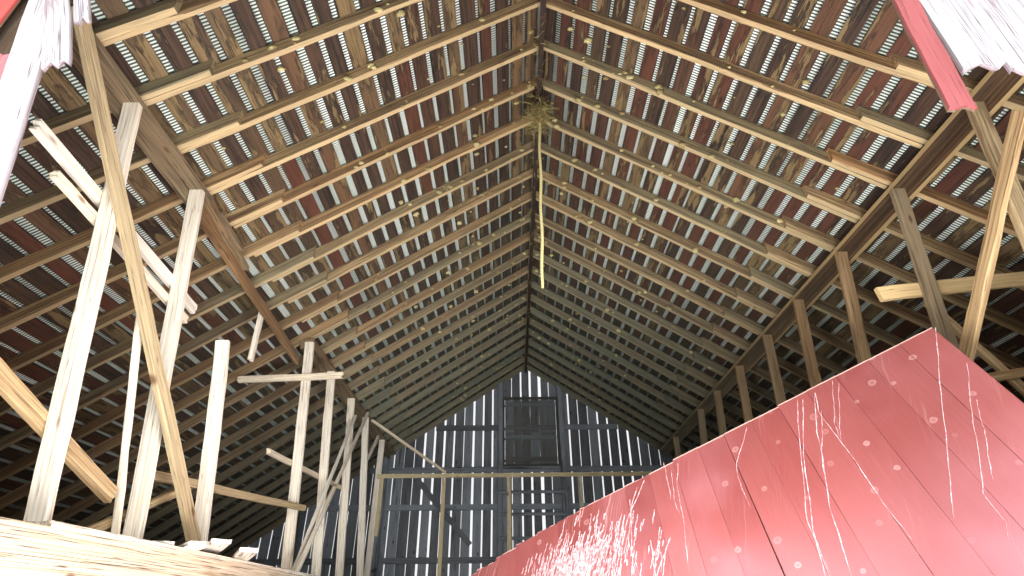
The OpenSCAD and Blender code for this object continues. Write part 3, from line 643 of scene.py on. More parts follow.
def boards(name, rings, look, seed):
    # every board is its eight CAD corners blended along and across, with eased corners that grow
    # into wane, a slow bow and wave, and ends cut back by a jagged amount where they are torn
    look = variant(boardDefaults, **look)
    rng = np.random.default_rng(seed)
    count, rows = len(rings), look["stations"]
    centre = rings.mean(axis=2)
    length = np.linalg.norm(centre[:, 1] - centre[:, 0], axis=1)
    wideWay, deepWay = rings[:, 0, 1] - rings[:, 0, 0], rings[:, 0, 3] - rings[:, 0, 0]
    width, thick = np.linalg.norm(wideWay, axis=1), np.linalg.norm(deepWay, axis=1)
    step = np.linspace(0, 1, rows)
    wane = np.clip(smoothNoise(rng, (count, 4), step, 4, 1.5), 0, 1) * look["wane"]
    wane = wane * rng.random((count, 4, 1)) ** 2
    ease = look["ease"] * (1 + 0.5 * smoothNoise(rng, (count, 4), step, 3, 3)) + wane
    a, b = boardSection(ease, width, thick)
    torn = np.broadcast_to(np.asarray(look["torn"], float), (count, 2))
    profile = a.shape[-1]
    jag = rng.random((count, 2, profile)) ** 1.6
    jag = 0.75 * jag[:, :, sectionLook["mates"]] + 0.25 * rng.random((count, 2, profile))
    cut = jag * torn[:, :, None] / length[:, None, None]
    blend = cut[:, 0, None] + (1 - cut[:, 0, None] - cut[:, 1, None]) * step[None, :, None]
    weights = np.stack([(1 - a) * (1 - b), a * (1 - b), a * b, (1 - a) * b], -1)[..., None]
    start, finish = ((weights * rings[:, end, None, None]).sum(-2) for end in (0, 1))
    points = start + (finish - start) * blend[..., None]
    arch = np.sin(np.pi * blend)
    held = np.minimum(arch * 4, 1)
    bow = look["bow"] * (rng.random((count, 1, 1)) * 2 - 1)
    wave = look["wave"] * smoothNoise(rng, (count,), step, 3, 1.2)[..., None] * held
    sway = look["wave"] * smoothNoise(rng, (count,), step, 3, 0.8)[..., None] * held
    cup = look["cup"] * (rng.random((count, 1, 1)) * 2 - 1) * ((2 * a - 1) ** 2 - 0.4)
    points = points + (bow * arch + wave + cup)[..., None] * unit(deepWay)[:, None, None]
    points = points + (bow * 0.4 * arch + sway)[..., None] * unit(wideWay)[:, None, None]
    left, right = np.array(sectionLook["capLeft"]), np.array(sectionLook["capRight"])
    cap = np.stack([left[:-1], left[1:], right[1:], right[:-1]], -1)
    base = (np.arange(count) * rows * profile)[:, None, None]
    faces = [gridFaces(count, rows, profile), (cap[None, :, ::-1] + base).reshape(-1, 4),
             (cap[None] + base + (rows - 1) * profile).reshape(-1, 4)]
    shift = rng.random((count, 1, 1, 3)) * sectionLook["grainShift"]
    place = spotsOf(blend * length[:, None, None], a * width[:, None, None], b * thick[:, None, None]) + shift
    tone = toneOf(rng, place)
    return makeMesh(name, points, np.concatenate(faces), {
        "boardPos": place.reshape(-1, 3), "boardTone": tone.reshape(-1, 3),
        "boardUnit": spotsOf(blend, a, b).reshape(-1, 3)})


def dress(name, node, material, look, seed, face=(0, 0, 1)):
    # a wooden CAD node as boards of its own corners
    return finishPiece(boards(name, planksOf(node, face), look, seed), material, "frame_wood", node)


ropeInk = {"deep": (150, 136, 86), "pale": (240, 230, 168), "dust": (226, 216, 136)}


def ropeMaterial(look):
    # pale hemp, darker in the grooves between its strands as painted shade, with dust in patches
    kit = Kit("hempRope")
    place = kit.attribute("ropePos")
    fibre = kit.noise(place, (60, 9, 6), 4.0)
    dust = kit.noise(place, (6, 3, 1), 3.0)
    lobe = kit.axes(place)[2]
    # painted shade: darker in the grooves between the strands
    colour = kit.blend(look["deep"], look["pale"], (lobe * 0.7 + fibre * 0.6 - 0.2).clip())
    colour = kit.tint(colour, look["dust"], dust.step(0.5, 0.7) * 0.7)
    return kit.finish(colour, 0.9, kit.bump(fibre, 0.002))


rope = finishPiece(makeRope(ropeLook, ropeRoute), ropeMaterial(ropeInk), "rope", "hay_rope")

rafterLook = {"stations": 40, "ease": 0.003, "wane": 0.022, "bow": 0.006, "wave": 0.003}


def lowerRafters(side):
    # the lower lengths as straight boards; the seat over the plate is inside the plate
    number = np.arange(bays + 1)
    half, lap = barn["rafterHalf"], barn["rafterLap"]
    y = -halfLength + half + number * bay + np.where(number == 0, lap, -lap)
    rings = np.zeros((len(number), 2, 4, 3))
    for end, x in enumerate((barn["purlinOut"] - barn["purlinLap"], roofHalf)):
        low = ridgeUnder - x * rise
        for corner, (dy, dz) in enumerate(((-half, 0), (-half, rafterRise), (half, rafterRise), (half, 0))):
            rings[:, end, corner] = spotsOf(side * x, y + dy, low + dz)
    return fixTurn(rings)


sides = ((-1, "left"), (1, "right"))
for seed, (side, label) in enumerate(sides, 11):
    rings = np.concatenate([planksOf(label + "_rafters", (0, 1, 0)), lowerRafters(side)])
    made = boards(label + "Rafters", rings, rafterLook, seed)
    finishPiece(made, woods["rafter"], "frame_wood", label + "_rafters")
print("rafters set")

sheathLook = {"stations": 12, "ease": 0.0015, "wane": 0.012, "bow": 0.002, "wave": 0.0015}
sheathRun = {"strip": 0.130, "widths": (0.112, 0.148), "shift": 0.008, "gapShare": 0.0015 / 10.4,
             "firstBays": (2, 9), "bays": (4, 10)}


def sheathing(label, seed):
    # each CAD strip becomes boards of their own width that butt over rafters, four to nine bays apart
    rng = np.random.default_rng(seed)
    gap, shift = sheathRun["gapShare"], sheathRun["shift"]
    made = []
    for strip in planksOf(label + "_sheathing"):
        cuts = [0.0]
        number = rng.integers(*sheathRun["firstBays"])
        while number < bays - 1:
            cuts.append((number * bay + barn["gableOut"] + barn["rafterHalf"]) / roofLength)
            number += rng.integers(*sheathRun["bays"])
        cuts.append(1.0)
        for a, b in zip(cuts[:-1], cuts[1:]):
            ring = strip[0] + (strip[1] - strip[0]) * np.array([a + gap, b - gap])[:, None, None]
            across = (ring[:, 1] - ring[:, 0]) / sheathRun["strip"]
            half = rng.uniform(*sheathRun["widths"]) / 2
            middle = (ring[:, 0] + ring[:, 1]) / 2 + across * rng.uniform(-shift, shift)
            left, right, deep = middle - across * half, middle + across * half, ring[:, 3] - ring[:, 0]
            made.append(np.stack([left, right, right + deep, left + deep], 1))
    return boards(label + "Sheathing", fixTurn(np.array(made)), sheathLook, seed + 1)


for label, seed in (("left", 21), ("right", 23)):
    finishPiece(sheathing(label, seed), woods["sheathing"], "roof_boards", label + "_sheathing")
print("sheathing laid")

metalLook = {"wave": bay / 19, "depth": 0.0070, "gauge": 0.0008, "sheetWaves": 26, "courses": 3, "samples": 6,
             "lap": 0.12, "top": 0.020, "ridgeOut": 0.0125, "shortest": 0.1, "uneven": 0.01,
             "sideLift": 1.3, "courseLift": 1.2}


def edgeOf(grid):
    # the values once round the edge of a grid
    return np.concatenate([grid[0], grid[1:, -1], grid[-1, -2::-1], grid[-2:0:-1, 0]])


def sheetFaces(count, columns):
    # faces of count closed sheets, each an under and an over grid of three rows
    under = np.arange(3 * columns).reshape(3, columns)
    low = np.stack([under[:-1, :-1], under[:-1, 1:], under[1:, 1:], under[1:, :-1]], -1).reshape(-1, 4)
    near, far = edgeOf(under), edgeOf(under + 3 * columns)
    edge = np.stack([near, far, np.roll(far, -1), np.roll(near, -1)], -1)
    faces = np.concatenate([low, low[:, ::-1] + 3 * columns, edge])
    return (faces[None] + (np.arange(count) * 6 * columns)[:, None, None]).reshape(-1, 4)


def roofMetal(label, side, seed):
    # corrugated sheets: height over the boards = half the depth times (1 + cosine of y over the wave
    # pitch), straight down the slope, lapped one wave at the sides and 0.12 m at the ends
    rng = np.random.default_rng(seed)
    wave, gauge, courses, ridgeOut = (metalLook[key] for key in ("wave", "gauge", "courses", "ridgeOut"))
    straight, lean = math.cos(pitch), math.sin(pitch)
    slopeLength = (roofHalf - ridgeOut) / straight
    share = np.linspace(0, 1, metalLook["sheetWaves"] * metalLook["samples"] + 1)
    starts = np.arange(0, roofLength - metalLook["shortest"], (metalLook["sheetWaves"] - 1) * wave)
    points, tones = [], []
    for sheet, start in enumerate(starts):
        y = start + (min(start + metalLook["sheetWaves"] * wave, roofLength) - start) * share
        for course in range(courses):
            low = metalLook["top"] + slopeLength * course / courses - (metalLook["lap"] if course else 0)
            high = metalLook["top"] + slopeLength * (course + 1) / courses
            laps = sheet % 2 + (courses - 1 - course) * metalLook["courseLift"]
            height = barn["sheath"] + gauge * metalLook["sideLift"] * laps
            height = height + metalLook["depth"] * 0.5 * (1 + np.cos(fullTurn * y / wave))
            rows = np.array([low, (low + high) / 2, high - rng.uniform(0, metalLook["uneven"])])
            down, out = rows[:, None], height + np.array([0, gauge])[:, None, None]
            x = ridgeOut + down * straight + out * lean
            z = ridgeUnder - ridgeOut * rise + rafterRise - down * lean + out * straight
            points.append(spotsOf(side * x, y - roofLength / 2, z))
            tones.append(np.broadcast_to(rng.random(3), points[-1].shape))
    faces = sheetFaces(len(points), len(share))
    if side < 0:
        faces = faces[:, ::-1]
    tones = np.array(tones).reshape(-1, 3)
    return makeMesh(label + "RoofMetal", np.array(points), faces, {"sheetTone": tones}, True)


metalInk = {"dull": (224, 236, 224), "bright": (246, 251, 245), "tarnish": (204, 220, 204),
            "far": (120, 132, 122), "valley": (34, 48, 34), "rust": (128, 76, 48)}


def sheetMaterial(look):
    # near-white zinc whose crests stand in for reflected light, with painted shade in the dark valleys and
    # painted shade making it duller and darker towards the back, and patches of tarnish and rust
    kit = Kit("galvanisedSheet")
    place = kit.objectPlace()
    y = kit.axes(place)[1]
    tone = kit.axes(kit.attribute("sheetTone"))[0]
    crest = ((y + roofLength / 2) * (fullTurn / metalLook["wave"]) + fullTurn / 4).sine() * 0.5 + 0.5
    spangle = kit.noise(place, 28, 3.0)
    tarnish = kit.noise(place, 1.2, 4.0)
    rust = kit.noise(place, 3.4, 6.0, 0.7).step(0.66, 0.78)
    colour = kit.blend(look["dull"], look["bright"], (spangle * 0.7 + tone * 0.5 - 0.1).clip())
    colour = kit.tint(colour, look["tarnish"], tarnish.step(0.45, 0.7) * 0.5)
    # painted shade: duller and darker towards the back
    colour = kit.tint(colour, look["far"], y.step(-2.0, 4.5) * 0.7)
    # painted shade in the valleys, leaving the pale crests as a painted highlight
    colour = kit.tint(colour, look["valley"], (1 - crest.step(0.38, 0.60)) * 0.94)
    colour = kit.tint(colour, look["rust"], rust * 0.6)
    return kit.finish(colour, 0.55, kit.bump(spangle, 0.0006), 0.0)


capInk = {"dull": (168, 176, 176), "bright": (206, 212, 210), "stain": (132, 104, 84)}


def capMaterial(look):
    # zinc with brown stains
    kit = Kit("ridgeCapMetal")
    place = kit.objectPlace()
    spot = kit.noise(place, 22, 4.0)
    stain = kit.noise(place, (2, 1.1, 2), 4.0).step(0.56, 0.72)
    colour = kit.tint(kit.blend(look["dull"], look["bright"], spot), look["stain"], stain * 0.6)
    return kit.finish(colour, 0.5 + spot * 0.15, kit.bump(spot, 0.0008))


sheetMetal = sheetMaterial(metalInk)
for seed, (side, label) in enumerate(sides, 31):
    finishPiece(roofMetal(label, side, seed), sheetMetal, "roof_metal", label + "_roof_metal")
print("roof metal on")

heavy = {"stations": 40, "ease": 0.004, "wane": 0.012, "bow": 0.0, "wave": 0.002}
postLook = {"stations": 30, "ease": 0.003, "wane": 0.012, "bow": 0.004, "wave": 0.0025}
stickLook = variant(postLook, torn=0.03, bow=0.003)
snapLook = {"fall": math.atan(0.230 / 2.6), "out": 2.840, "under": 0.0225, "y": -3.1956,
            "x": (-2.8135, -2.761), "reach": (0.9, 0.62), "torn": (0.16, 0.5), "width": 0.052, "thick": 0.044}
tanSticks = {"width": 0.091, "near": 0.004, "places": (-1.705, -2.885), "reach": 0.05}
wideBrace = 0.1


def leftPurlin(look):
    # the snapped flat plank has five sides in the CAD, so two torn boards side by side take its place
    rings = planksOf("left_purlin")
    straight, lean = math.cos(look["fall"]), math.sin(look["fall"])
    start = spotsOf(look["x"], look["y"], ridgeUnder - look["out"] * rise - look["under"])
    end = start + np.array(look["reach"])[:, None] * (0, straight, -lean)
    flat = boxPlanks(start, end, (1, 0, 0), (0, lean, straight), look["width"], look["thick"])
    torn = np.zeros((len(rings) + 2, 2))
    torn[-2:, 1] = look["torn"]
    return boards("leftPurlin", np.concatenate([rings, flat]),
                  variant(heavy, stations=60, torn=torn, wane=0.02), 42)


def widthsOf(rings):
    # width of each board at its first end
    return np.linalg.norm(rings[:, 0, 1] - rings[:, 0, 0], axis=1)


dress("rightPurlin", "right_purlin", woods["darkPurlin"], variant(heavy, stations=80), 41)
finishPiece(leftPurlin(snapLook), woods["purlin"], "frame_wood", "left_purlin")
dress("rightPurlinPosts", "right_purlin_posts", woods["postTan"], postLook, 43, face=(0, -1, 0))
dress("leftPurlinPosts", "left_purlin_posts", woods["postWhite"], postLook, 44, face=(0, -1, 0))
sticks, braces = planksOf("left_loose_boards"), planksOf("right_braces")
stickY = sticks.mean(axis=(1, 2))[:, 1]
tan = np.abs(widthsOf(sticks) - tanSticks["width"]) < tanSticks["near"]
for place in tanSticks["places"]:
    tan |= np.abs(stickY - place) < tanSticks["reach"]
wide = widthsOf(braces) > wideBrace
for name, rings, wood, look, seed, node in (
        ("leftTanSticks", sticks[tan], "stickTan", stickLook, 45, "left_loose_boards"),
        ("leftWhiteSticks", sticks[~tan], "postWhite", stickLook, 40, "left_loose_boards"),
        ("rightPaleBrace", braces[wide], "stickPale", postLook, 46, "right_braces"),
        ("rightBraces", braces[~wide], "stickTan", stickLook, 39, "right_braces")):
    finishPiece(boards(name, rings, look, seed), woods[wood], "frame_wood", node)
framePieces = (
    ("crossRail", "cross_rail", "rail", postLook), ("crossStuds", "cross_studs", "rail", postLook),
    ("mowGirders", "mow_girders", "floor", heavy),
    ("mowJoists", "mow_joists", "frame", variant(postLook, stations=16)),
    ("mowPosts", "mow_posts", "frame", postLook), ("wallPosts", "wall_posts", "frame", postLook),
    ("wallGirts", "wall_girts", "frame", postLook),
    ("backGableGirts", "back_gable_girts", "backWall", postLook),
    ("backGablePosts", "back_gable_posts", "backWall", postLook),
    ("frontGableGirts", "front_gable_girts", "frame", postLook),
    ("frontGablePosts", "front_gable_posts", "frame", postLook),
    ("fallenPanelGirts", "fallen_panel_girts", "frame", postLook),
    ("hayDoorLadder", "hay_door_ladder", "backWall", postLook))
for seed, (name, node, wood, look) in enumerate(framePieces, 47):
    dress(name, node, woods[wood], look, seed)
print("frame pieces dressed")

# Boards of the gables and side walls
gableLook = {"stations": 10, "ease": 0.002, "wane": 0.006, "bow": 0.002, "wave": 0.0015}
wallGaps = {"gaps": (0.001, 0.003, 0.006), "chances": (0.5, 0.35, 0.15)}


def gableTop(x):
    # height where a wall board meets the roof sheathing
    return ridgeUnder + rafterRise - np.abs(x) * rise


def uprightBoards(left, right, low, high, y, thick=barn["board"]):
    # upright boards between two x positions each, with their tops cut to the roof slope
    left, right = np.asarray(left, float), np.asarray(right, float)
    rings = np.zeros((len(left), 2, 4, 3))
    for corner, (x, dy) in enumerate(((left, 0), (right, 0), (right, thick), (left, thick))):
        top = gableTop(x) if high is None else np.minimum(high, gableTop(x))
        rings[:, 0, corner] = spotsOf(x, y + dy, low)
        rings[:, 1, corner] = spotsOf(x, y + dy, top)
    return fixOutward(rings)


# Places of the gaps where daylight shows in the photograph's back wall, and the widths of all gaps
backLook = {"places": (-0.935, -0.738, -0.529, -0.323, -0.118, 0.085, 0.296, 0.496, 0.707, 0.911, 1.117,
                       1.328, 1.535, 1.74, 1.949), "pitch": 0.2055, "more": (26, 20), "endClear": 0.01,
            "gaps": (0.012, 0.022, 0.030, 0.040), "chances": (0.2, 0.3, 0.3, 0.2), "widen": 1.12,
            "sideFrom": 2.4, "sideShare": 0.5, "openPlace": 0.296, "openHalf": 0.032, "narrowest": 0.03,
            "underDoor": 0.004, "byDoor": 0.003, "sliver": 0.02}


def backBoards(look):
    # upright boards with a gap of its own between each two, cut round the hay door
    rng = np.random.default_rng(61)
    places, wall = np.array(look["places"]), barn["wall"]
    before, after = look["more"]
    edges = np.concatenate([places[0] - look["pitch"] * np.arange(before, 0, -1), places,
                            places[-1] + look["pitch"] * np.arange(1, after + 1)])
    edges = np.concatenate([[-wall], edges[np.abs(edges) < wall - look["endClear"]], [wall]])
    gap = rng.choice(look["gaps"], len(edges), p=look["chances"]) / 2 * look["widen"]
    gap[np.abs(edges) > look["sideFrom"]] *= look["sideShare"]
    gap[np.abs(edges - look["openPlace"]) < look["endClear"]] = look["openHalf"]
    left, right = edges[:-1] + gap[:-1], edges[1:] - gap[1:]
    keep = right - left > look["narrowest"]
    left, right = left[keep], right[keep]
    # boards that meet the hay door stop under it, and others start over it
    reach = hayDoor["half"] + hayDoor["clear"]
    doorLeft, doorRight = hayDoor["middle"] - reach, hayDoor["middle"] + reach
    meets = (right > doorLeft) & (left < doorRight)
    under, over = hayDoor["low"] - look["underDoor"], hayDoor["high"] + look["byDoor"]
    parts = [uprightBoards(left[~meets], right[~meets], barn["boardFoot"], None, halfLength),
             uprightBoards(left[meets], right[meets], barn["boardFoot"], under, halfLength)]
    for a, b in ((left[meets][0], doorLeft - look["byDoor"]), (doorRight + look["byDoor"], right[meets][-1])):
        if b - a > look["sliver"]:
            parts.append(uprightBoards([a], [b], under, hayDoor["high"], halfLength))
    parts.append(uprightBoards(left[meets], right[meets], over, None, halfLength))
    return np.concatenate(parts)


finishPiece(boards("backGableBoards", backBoards(backLook), gableLook, 62), woods["backWall"], "red_boards",
            "back_gable_boards")


def cutBoards(start, stop, pitchWidth, rng, gaps, chances):
    # edges of a run of boards of about one width, with a small gap of its own between each two
    count = max(1, int(round((stop - start) / pitchWidth)))
    edges = start + (stop - start) * np.arange(count + 1) / count
    edges[1:-1] += rng.uniform(-0.008, 0.008, count - 1)
    gap = rng.choice(gaps, count + 1, p=chances) / 2
    gap[0] = gap[-1] = 0
    return edges[:-1] + gap[:-1], edges[1:] - gap[1:]


frontLook = {"count": 27, "low": 4.620, "ragged": 0.150, "turn": 137.5, "first": 31, "gap": 0.0008,
             "torn": (0.02, 0.10), "strips": ((-2.739, -2.612, 3.980), (-2.608, -2.480, 3.960)),
             "stripTorn": 0.05}


def tornStart(amounts):
    # how far each board is torn back at its first end, with its second end whole
    return np.stack([amounts, np.zeros(len(amounts))], -1)


def frontBoards(look):
    # over the opening each board ends at its own height, as in the CAD: 150 mm times |sin| of its number
    edges = np.linspace(-barn["opening"], barn["opening"], look["count"] + 1)
    angle = np.radians(np.arange(look["count"]) * look["turn"] + look["first"])
    low = look["low"] - look["ragged"] * np.abs(np.sin(angle))
    left, right = edges[:-1] + look["gap"], edges[1:] - look["gap"]
    return uprightBoards(left, right, low, None, -halfLength, -barn["board"])


def besideOpening(look):
    # the full boards at both sides of the opening, and two short strips at its left edge
    rng = np.random.default_rng(65)
    foot, thick = barn["boardFoot"], -barn["board"]
    full = []
    for start, stop in ((-barn["wall"], -barn["opening"]), (barn["opening"], barn["wall"])):
        left, right = cutBoards(start, stop, barn["boardPitch"], rng, **wallGaps)
        full.append(uprightBoards(left, right, foot, None, -halfLength, thick))
    left, right, top = np.array(look["strips"]).T
    return np.concatenate(full), uprightBoards(left, right, foot, top, -halfLength, thick)


frontTorn = tornStart(np.random.default_rng(63).uniform(*frontLook["torn"], frontLook["count"]))
finishPiece(boards("frontGableBoards", frontBoards(frontLook), variant(gableLook, torn=frontTorn), 64),
            paints["wall"], "red_boards", "front_gable_boards")
sideRings, stripRings = besideOpening(frontLook)
stripLook = variant(gableLook, torn=(0, frontLook["stripTorn"]), stations=14)
finishPiece(boards("frontSideBoards", sideRings, gableLook, 66), paints["wall"], "red_boards",
            "front_side_boards")
finishPiece(boards("frontTornStrips", stripRings, stripLook, 38), paints["pink"], "red_boards",
            "front_side_boards")

# Boards that hang from the torn gable: the CAD boards as they are, of which the narrow right one is red
hangLook = {"stations": 40, "ease": 0.002, "wane": 0.012, "bow": 0.008, "wave": 0.002, "cup": 0.002}
hangRed = {"narrower": 0.15, "torn": (0.03, 0)}
hangWhite = {"torn": (0.08, 0)}
hanging = planksOf("front_hanging_boards", (0, -1, 0))
red = (hanging.mean(axis=(1, 2))[:, 0] > 0) & (widthsOf(hanging) < hangRed["narrower"])
finishPiece(boards("tornRedBoard", hanging[red], variant(hangLook, torn=hangRed["torn"]), 67),
            paints["hangingRed"], "red_boards", "front_hanging_boards")
finishPiece(boards("tornWhiteBoards", hanging[~red], variant(hangLook, torn=hangWhite["torn"]), 68),
            paints["white"], "white_boards", "front_hanging_boards")
eaveWall = {"gaps": (0.002, 0.005, 0.010), "chances": (0.5, 0.35, 0.15)}


def wallBoards(side, seed):
    # side walls: upright boards along y, from below the foundation's top to the eave
    rng = np.random.default_rng(seed)
    end = halfLength + barn["board"]
    left, right = cutBoards(-end, end, barn["boardPitch"], rng, **eaveWall)
    inner, outer = barn["wall"] * side, (barn["wall"] + barn["board"]) * side
    top = barn["plateTop"] - barn["plateDepth"] * rise - 0.005
    rings = np.zeros((len(left), 2, 4, 3))
    for row, z in enumerate((barn["boardFoot"], top)):
        for corner, (x, y) in enumerate(((inner, left), (inner, right), (outer, right), (outer, left))):
            rings[:, row, corner] = spotsOf(x, y, z)
    return fixOutward(rings)


for side, label, seed in ((-1, "left", 71), (1, "right", 73)):
    finishPiece(boards(label + "WallBoards", wallBoards(side, seed), gableLook, seed + 1), paints["wall"],
                "red_boards", label + "_wall_boards")
print("wall boards hung")

floorLook = {"stations": 22, "ease": 0.002, "wane": 0.006, "bow": 0.0, "wave": 0.0008}
mowLook = {"under": 2.090, "top": 2.115, "inner": 2.240, "outer": 6.020, "board": 0.172, "endIn": 0.150,
           "fronts": ((1, 0.050), (-1, 0.700)), "bays": (5, 10), "lastCut": 1.2, "gap": 0.001,
           "gaps": {"gaps": (0.001, 0.003, 0.006), "chances": (0.5, 0.3, 0.2)}, "loose": 0.3,
           "torn": 0.06, "sawn": 0.004, "looseTorn": 0.05}


def floorBoards(look):
    # boards along the barn over the joists, butted at joists, with the loose boards of the CAD on top
    rng = np.random.default_rng(75)
    low, high = look["under"], look["top"]
    parts, ends = [], []
    for side, front in look["fronts"]:
        edges = cutBoards(look["inner"], look["outer"], look["board"], rng, **look["gaps"])
        for pair in zip(*edges):
            cuts = [-halfLength + look["endIn"] + front]
            place = -halfLength + barn["rafterHalf"] + bay * rng.integers(*look["bays"])
            while place < halfLength - look["lastCut"]:
                cuts.append(place)
                place += bay * rng.integers(*look["bays"])
            cuts.append(halfLength - look["endIn"])
            left, right = sorted(edge * side for edge in pair)
            for number, (a, b) in enumerate(zip(cuts[:-1], cuts[1:])):
                parts.append([[(left, y, high), (right, y, high), (right, y, low), (left, y, low)]
                              for y in (a + look["gap"], b - look["gap"])])
                torn = side < 0 and number == 0
                ends.append((look["torn"] if torn else look["sawn"], look["sawn"]))
    loose = planksOf("mow_floors")
    loose = loose[widthsOf(loose) < look["loose"]]
    ends += [(look["looseTorn"],) * 2] * len(loose)
    return fixOutward(np.concatenate([np.array(parts), loose])), np.array(ends)


floorRings, floorTorn = floorBoards(mowLook)
finishPiece(boards("mowFloors", floorRings, variant(floorLook, torn=floorTorn), 76), woods["floor"],
            "floor_boards", "mow_floors")
print("mow floors laid,", len(floorRings), "boards")

# Fallen piece of the front wall: its top corner, the way of its top edge and the way down its face
panelLook = {"corner": (2.288, -3.604, 3.270), "edge": (-0.786, 0.545, -0.294),
             "down": (-0.043, -0.522, -0.852), "length": 4.100, "thick": 0.025, "board": 0.208,
             "shift": 0.006, "gap": 0.0006,
             "openSeam": 7, "openWidth": 0.010, "uneven": 0.004, "proud": 0.0015,
             "headPlaces": (0, 0.9, 0.94, 1.8, 1.84, 2.6, 3.1, 3.65, 4.1),
             "heads": (0, 0.0, 0.012, 0.014, 0.03, 0.035, 0.07, 0.14, 0.17)}
panelFinish = {"stations": 20, "ease": 0.0015, "wave": 0.0008, "tornFrom": 9, "torn": 0.016, "sawn": 0.003}
edgeWay = unit(np.array(panelLook["edge"]))
faceWay = unit(np.cross(edgeWay, panelLook["down"]))
fallWay = np.cross(faceWay, edgeWay)
panelCorner = np.array(panelLook["corner"])
panelFoot = panelCorner[2] + panelLook["length"] * edgeWay[2] - panelLook["thick"] * faceWay[2]
panelWidth = -panelFoot / fallWay[2]


def panelSpot(across, down, out):
    # a place along the top edge, down the face and out of it
    return panelCorner + spotsOf(across, down, out) @ np.array([edgeWay, fallWay, faceWay])


def panelBoards(look):
    # boards side by side along the top edge; past the step the heads fall short, up to 170 mm at the end
    rng = np.random.default_rng(81)
    count = int(round(look["length"] / look["board"]))
    edges = look["length"] * np.arange(count + 1) / count
    edges[1:-1] += rng.uniform(-look["shift"], look["shift"], count - 1)
    gap = np.full((count + 1, 2), look["gap"])
    gap[look["openSeam"], 1] = look["openWidth"]
    head = np.interp(edges[:-1], look["headPlaces"], look["heads"]) + rng.uniform(0, look["uneven"], count)
    front, back = rng.uniform(-look["proud"], 0.0, count)[:, None], -look["thick"]
    left, right = edges[:-1, None] + gap[:-1], edges[1:, None] - gap[1:]
    down = np.stack([head, np.full(count, panelWidth)], -1)
    corners = ((left, back), (right, back), (right, front), (left, front))
    return fixOutward(np.stack([panelSpot(across, down, out) for across, out in corners], 2))


panelInk = {"drop": (236, 196, 190), "fade": (198, 134, 144), "head": (246, 210, 196)}


def panelMaterial(look):
    # red paint with darker seams, faded patches, pale sawn heads that are partly bare end grain and partly a
    # painted highlight along the top edge, and droppings: thin white runs that follow gravity over the
    # slanting face, thick near the low end, with round splashes between
    kit, colour, height, _ = paintMaterial("fallenRed", variant(
        redLook, paintDeep=(138, 65, 62), paintPale=(166, 92, 89), bareDark=(116, 60, 56),
        bareLight=(184, 126, 118), bareStain=(96, 56, 50), dirt=(150, 74, 72), crack=(120, 52, 50),
        cover=0.50, cracks=0.05))
    solid = kit.objectPlace()
    place = kit.vector("SUBTRACT", solid, tuple(panelCorner))
    across = kit.vector("DOT_PRODUCT", place, tuple(edgeWay))
    down = kit.vector("DOT_PRODUCT", place, tuple(fallWay))
    level = across - down * float(edgeWay[2] / fallWay[2])
    spot = kit.join(level, down, 0.0)
    runs = kit.join(level + (kit.noise(spot, (2.5, 3.2, 1), 3.0) - 0.5) * 0.09, down, 0.0)
    fineLine = 1 - (kit.noise(runs, (22, 0.4, 1), 1.0) - 0.5).size().step(0.003, 0.014)
    low = (across - 1.7).step(0.0, 0.9)
    white = fineLine * (low * 0.55 + 0.12) * kit.noise(spot, (5, 1.4, 1), 3.0).step(0.46, 0.62)
    splash = kit.cells(kit.join(across, down, 0.0), (4.2, 4.2, 4.2), "2D")
    ragged = splash["Distance"] + (kit.noise(solid, 50, 3.0) - 0.5) * 0.07
    chosen, size, strength = kit.axes(splash["Color"])
    reach = size * 0.06 + 0.035
    ring = (1 - ragged.step(reach, reach + 0.03)) * (ragged.step(reach - 0.05, reach) * 0.6 + 0.4)
    white = (white + ring * (chosen > 0.42) * (strength * 0.32 + 0.10)).clip()
    colour = kit.tint(colour, look["drop"], white * 0.85)
    # faded in patches, and paler towards the low end
    fade = kit.noise(solid, 0.9, 3.0).step(0.45, 0.75) * 0.36 + (down - 0.5).step(0.0, 0.9) * 0.32
    colour = kit.tint(colour, look["fade"], fade.clip())
    endwise = kit.axes(kit.attribute("boardUnit"))[0]
    # painted highlight along the board heads, partly their bare end grain
    colour = kit.tint(colour, look["head"], (1 - endwise.step(0.0025, 0.0055)) * 0.8)
    return kit.finish(colour, 0.48 + (height - 0.5) * 0.2, kit.bump(height + white * 0.5, 0.0012))


def fallenPiece(look):
    rings = panelBoards(panelLook)
    ragged = np.arange(len(rings)) > look["tornFrom"]
    board = {key: look[key] for key in ("stations", "ease", "wave")}
    board["torn"] = tornStart(np.where(ragged, look["torn"], look["sawn"]))
    return boards("fallenPanelBoards", rings, board, 82)


finishPiece(fallenPiece(panelFinish), panelMaterial(panelInk), "red_boards", "fallen_panel_boards")
print("fallen wall piece set")

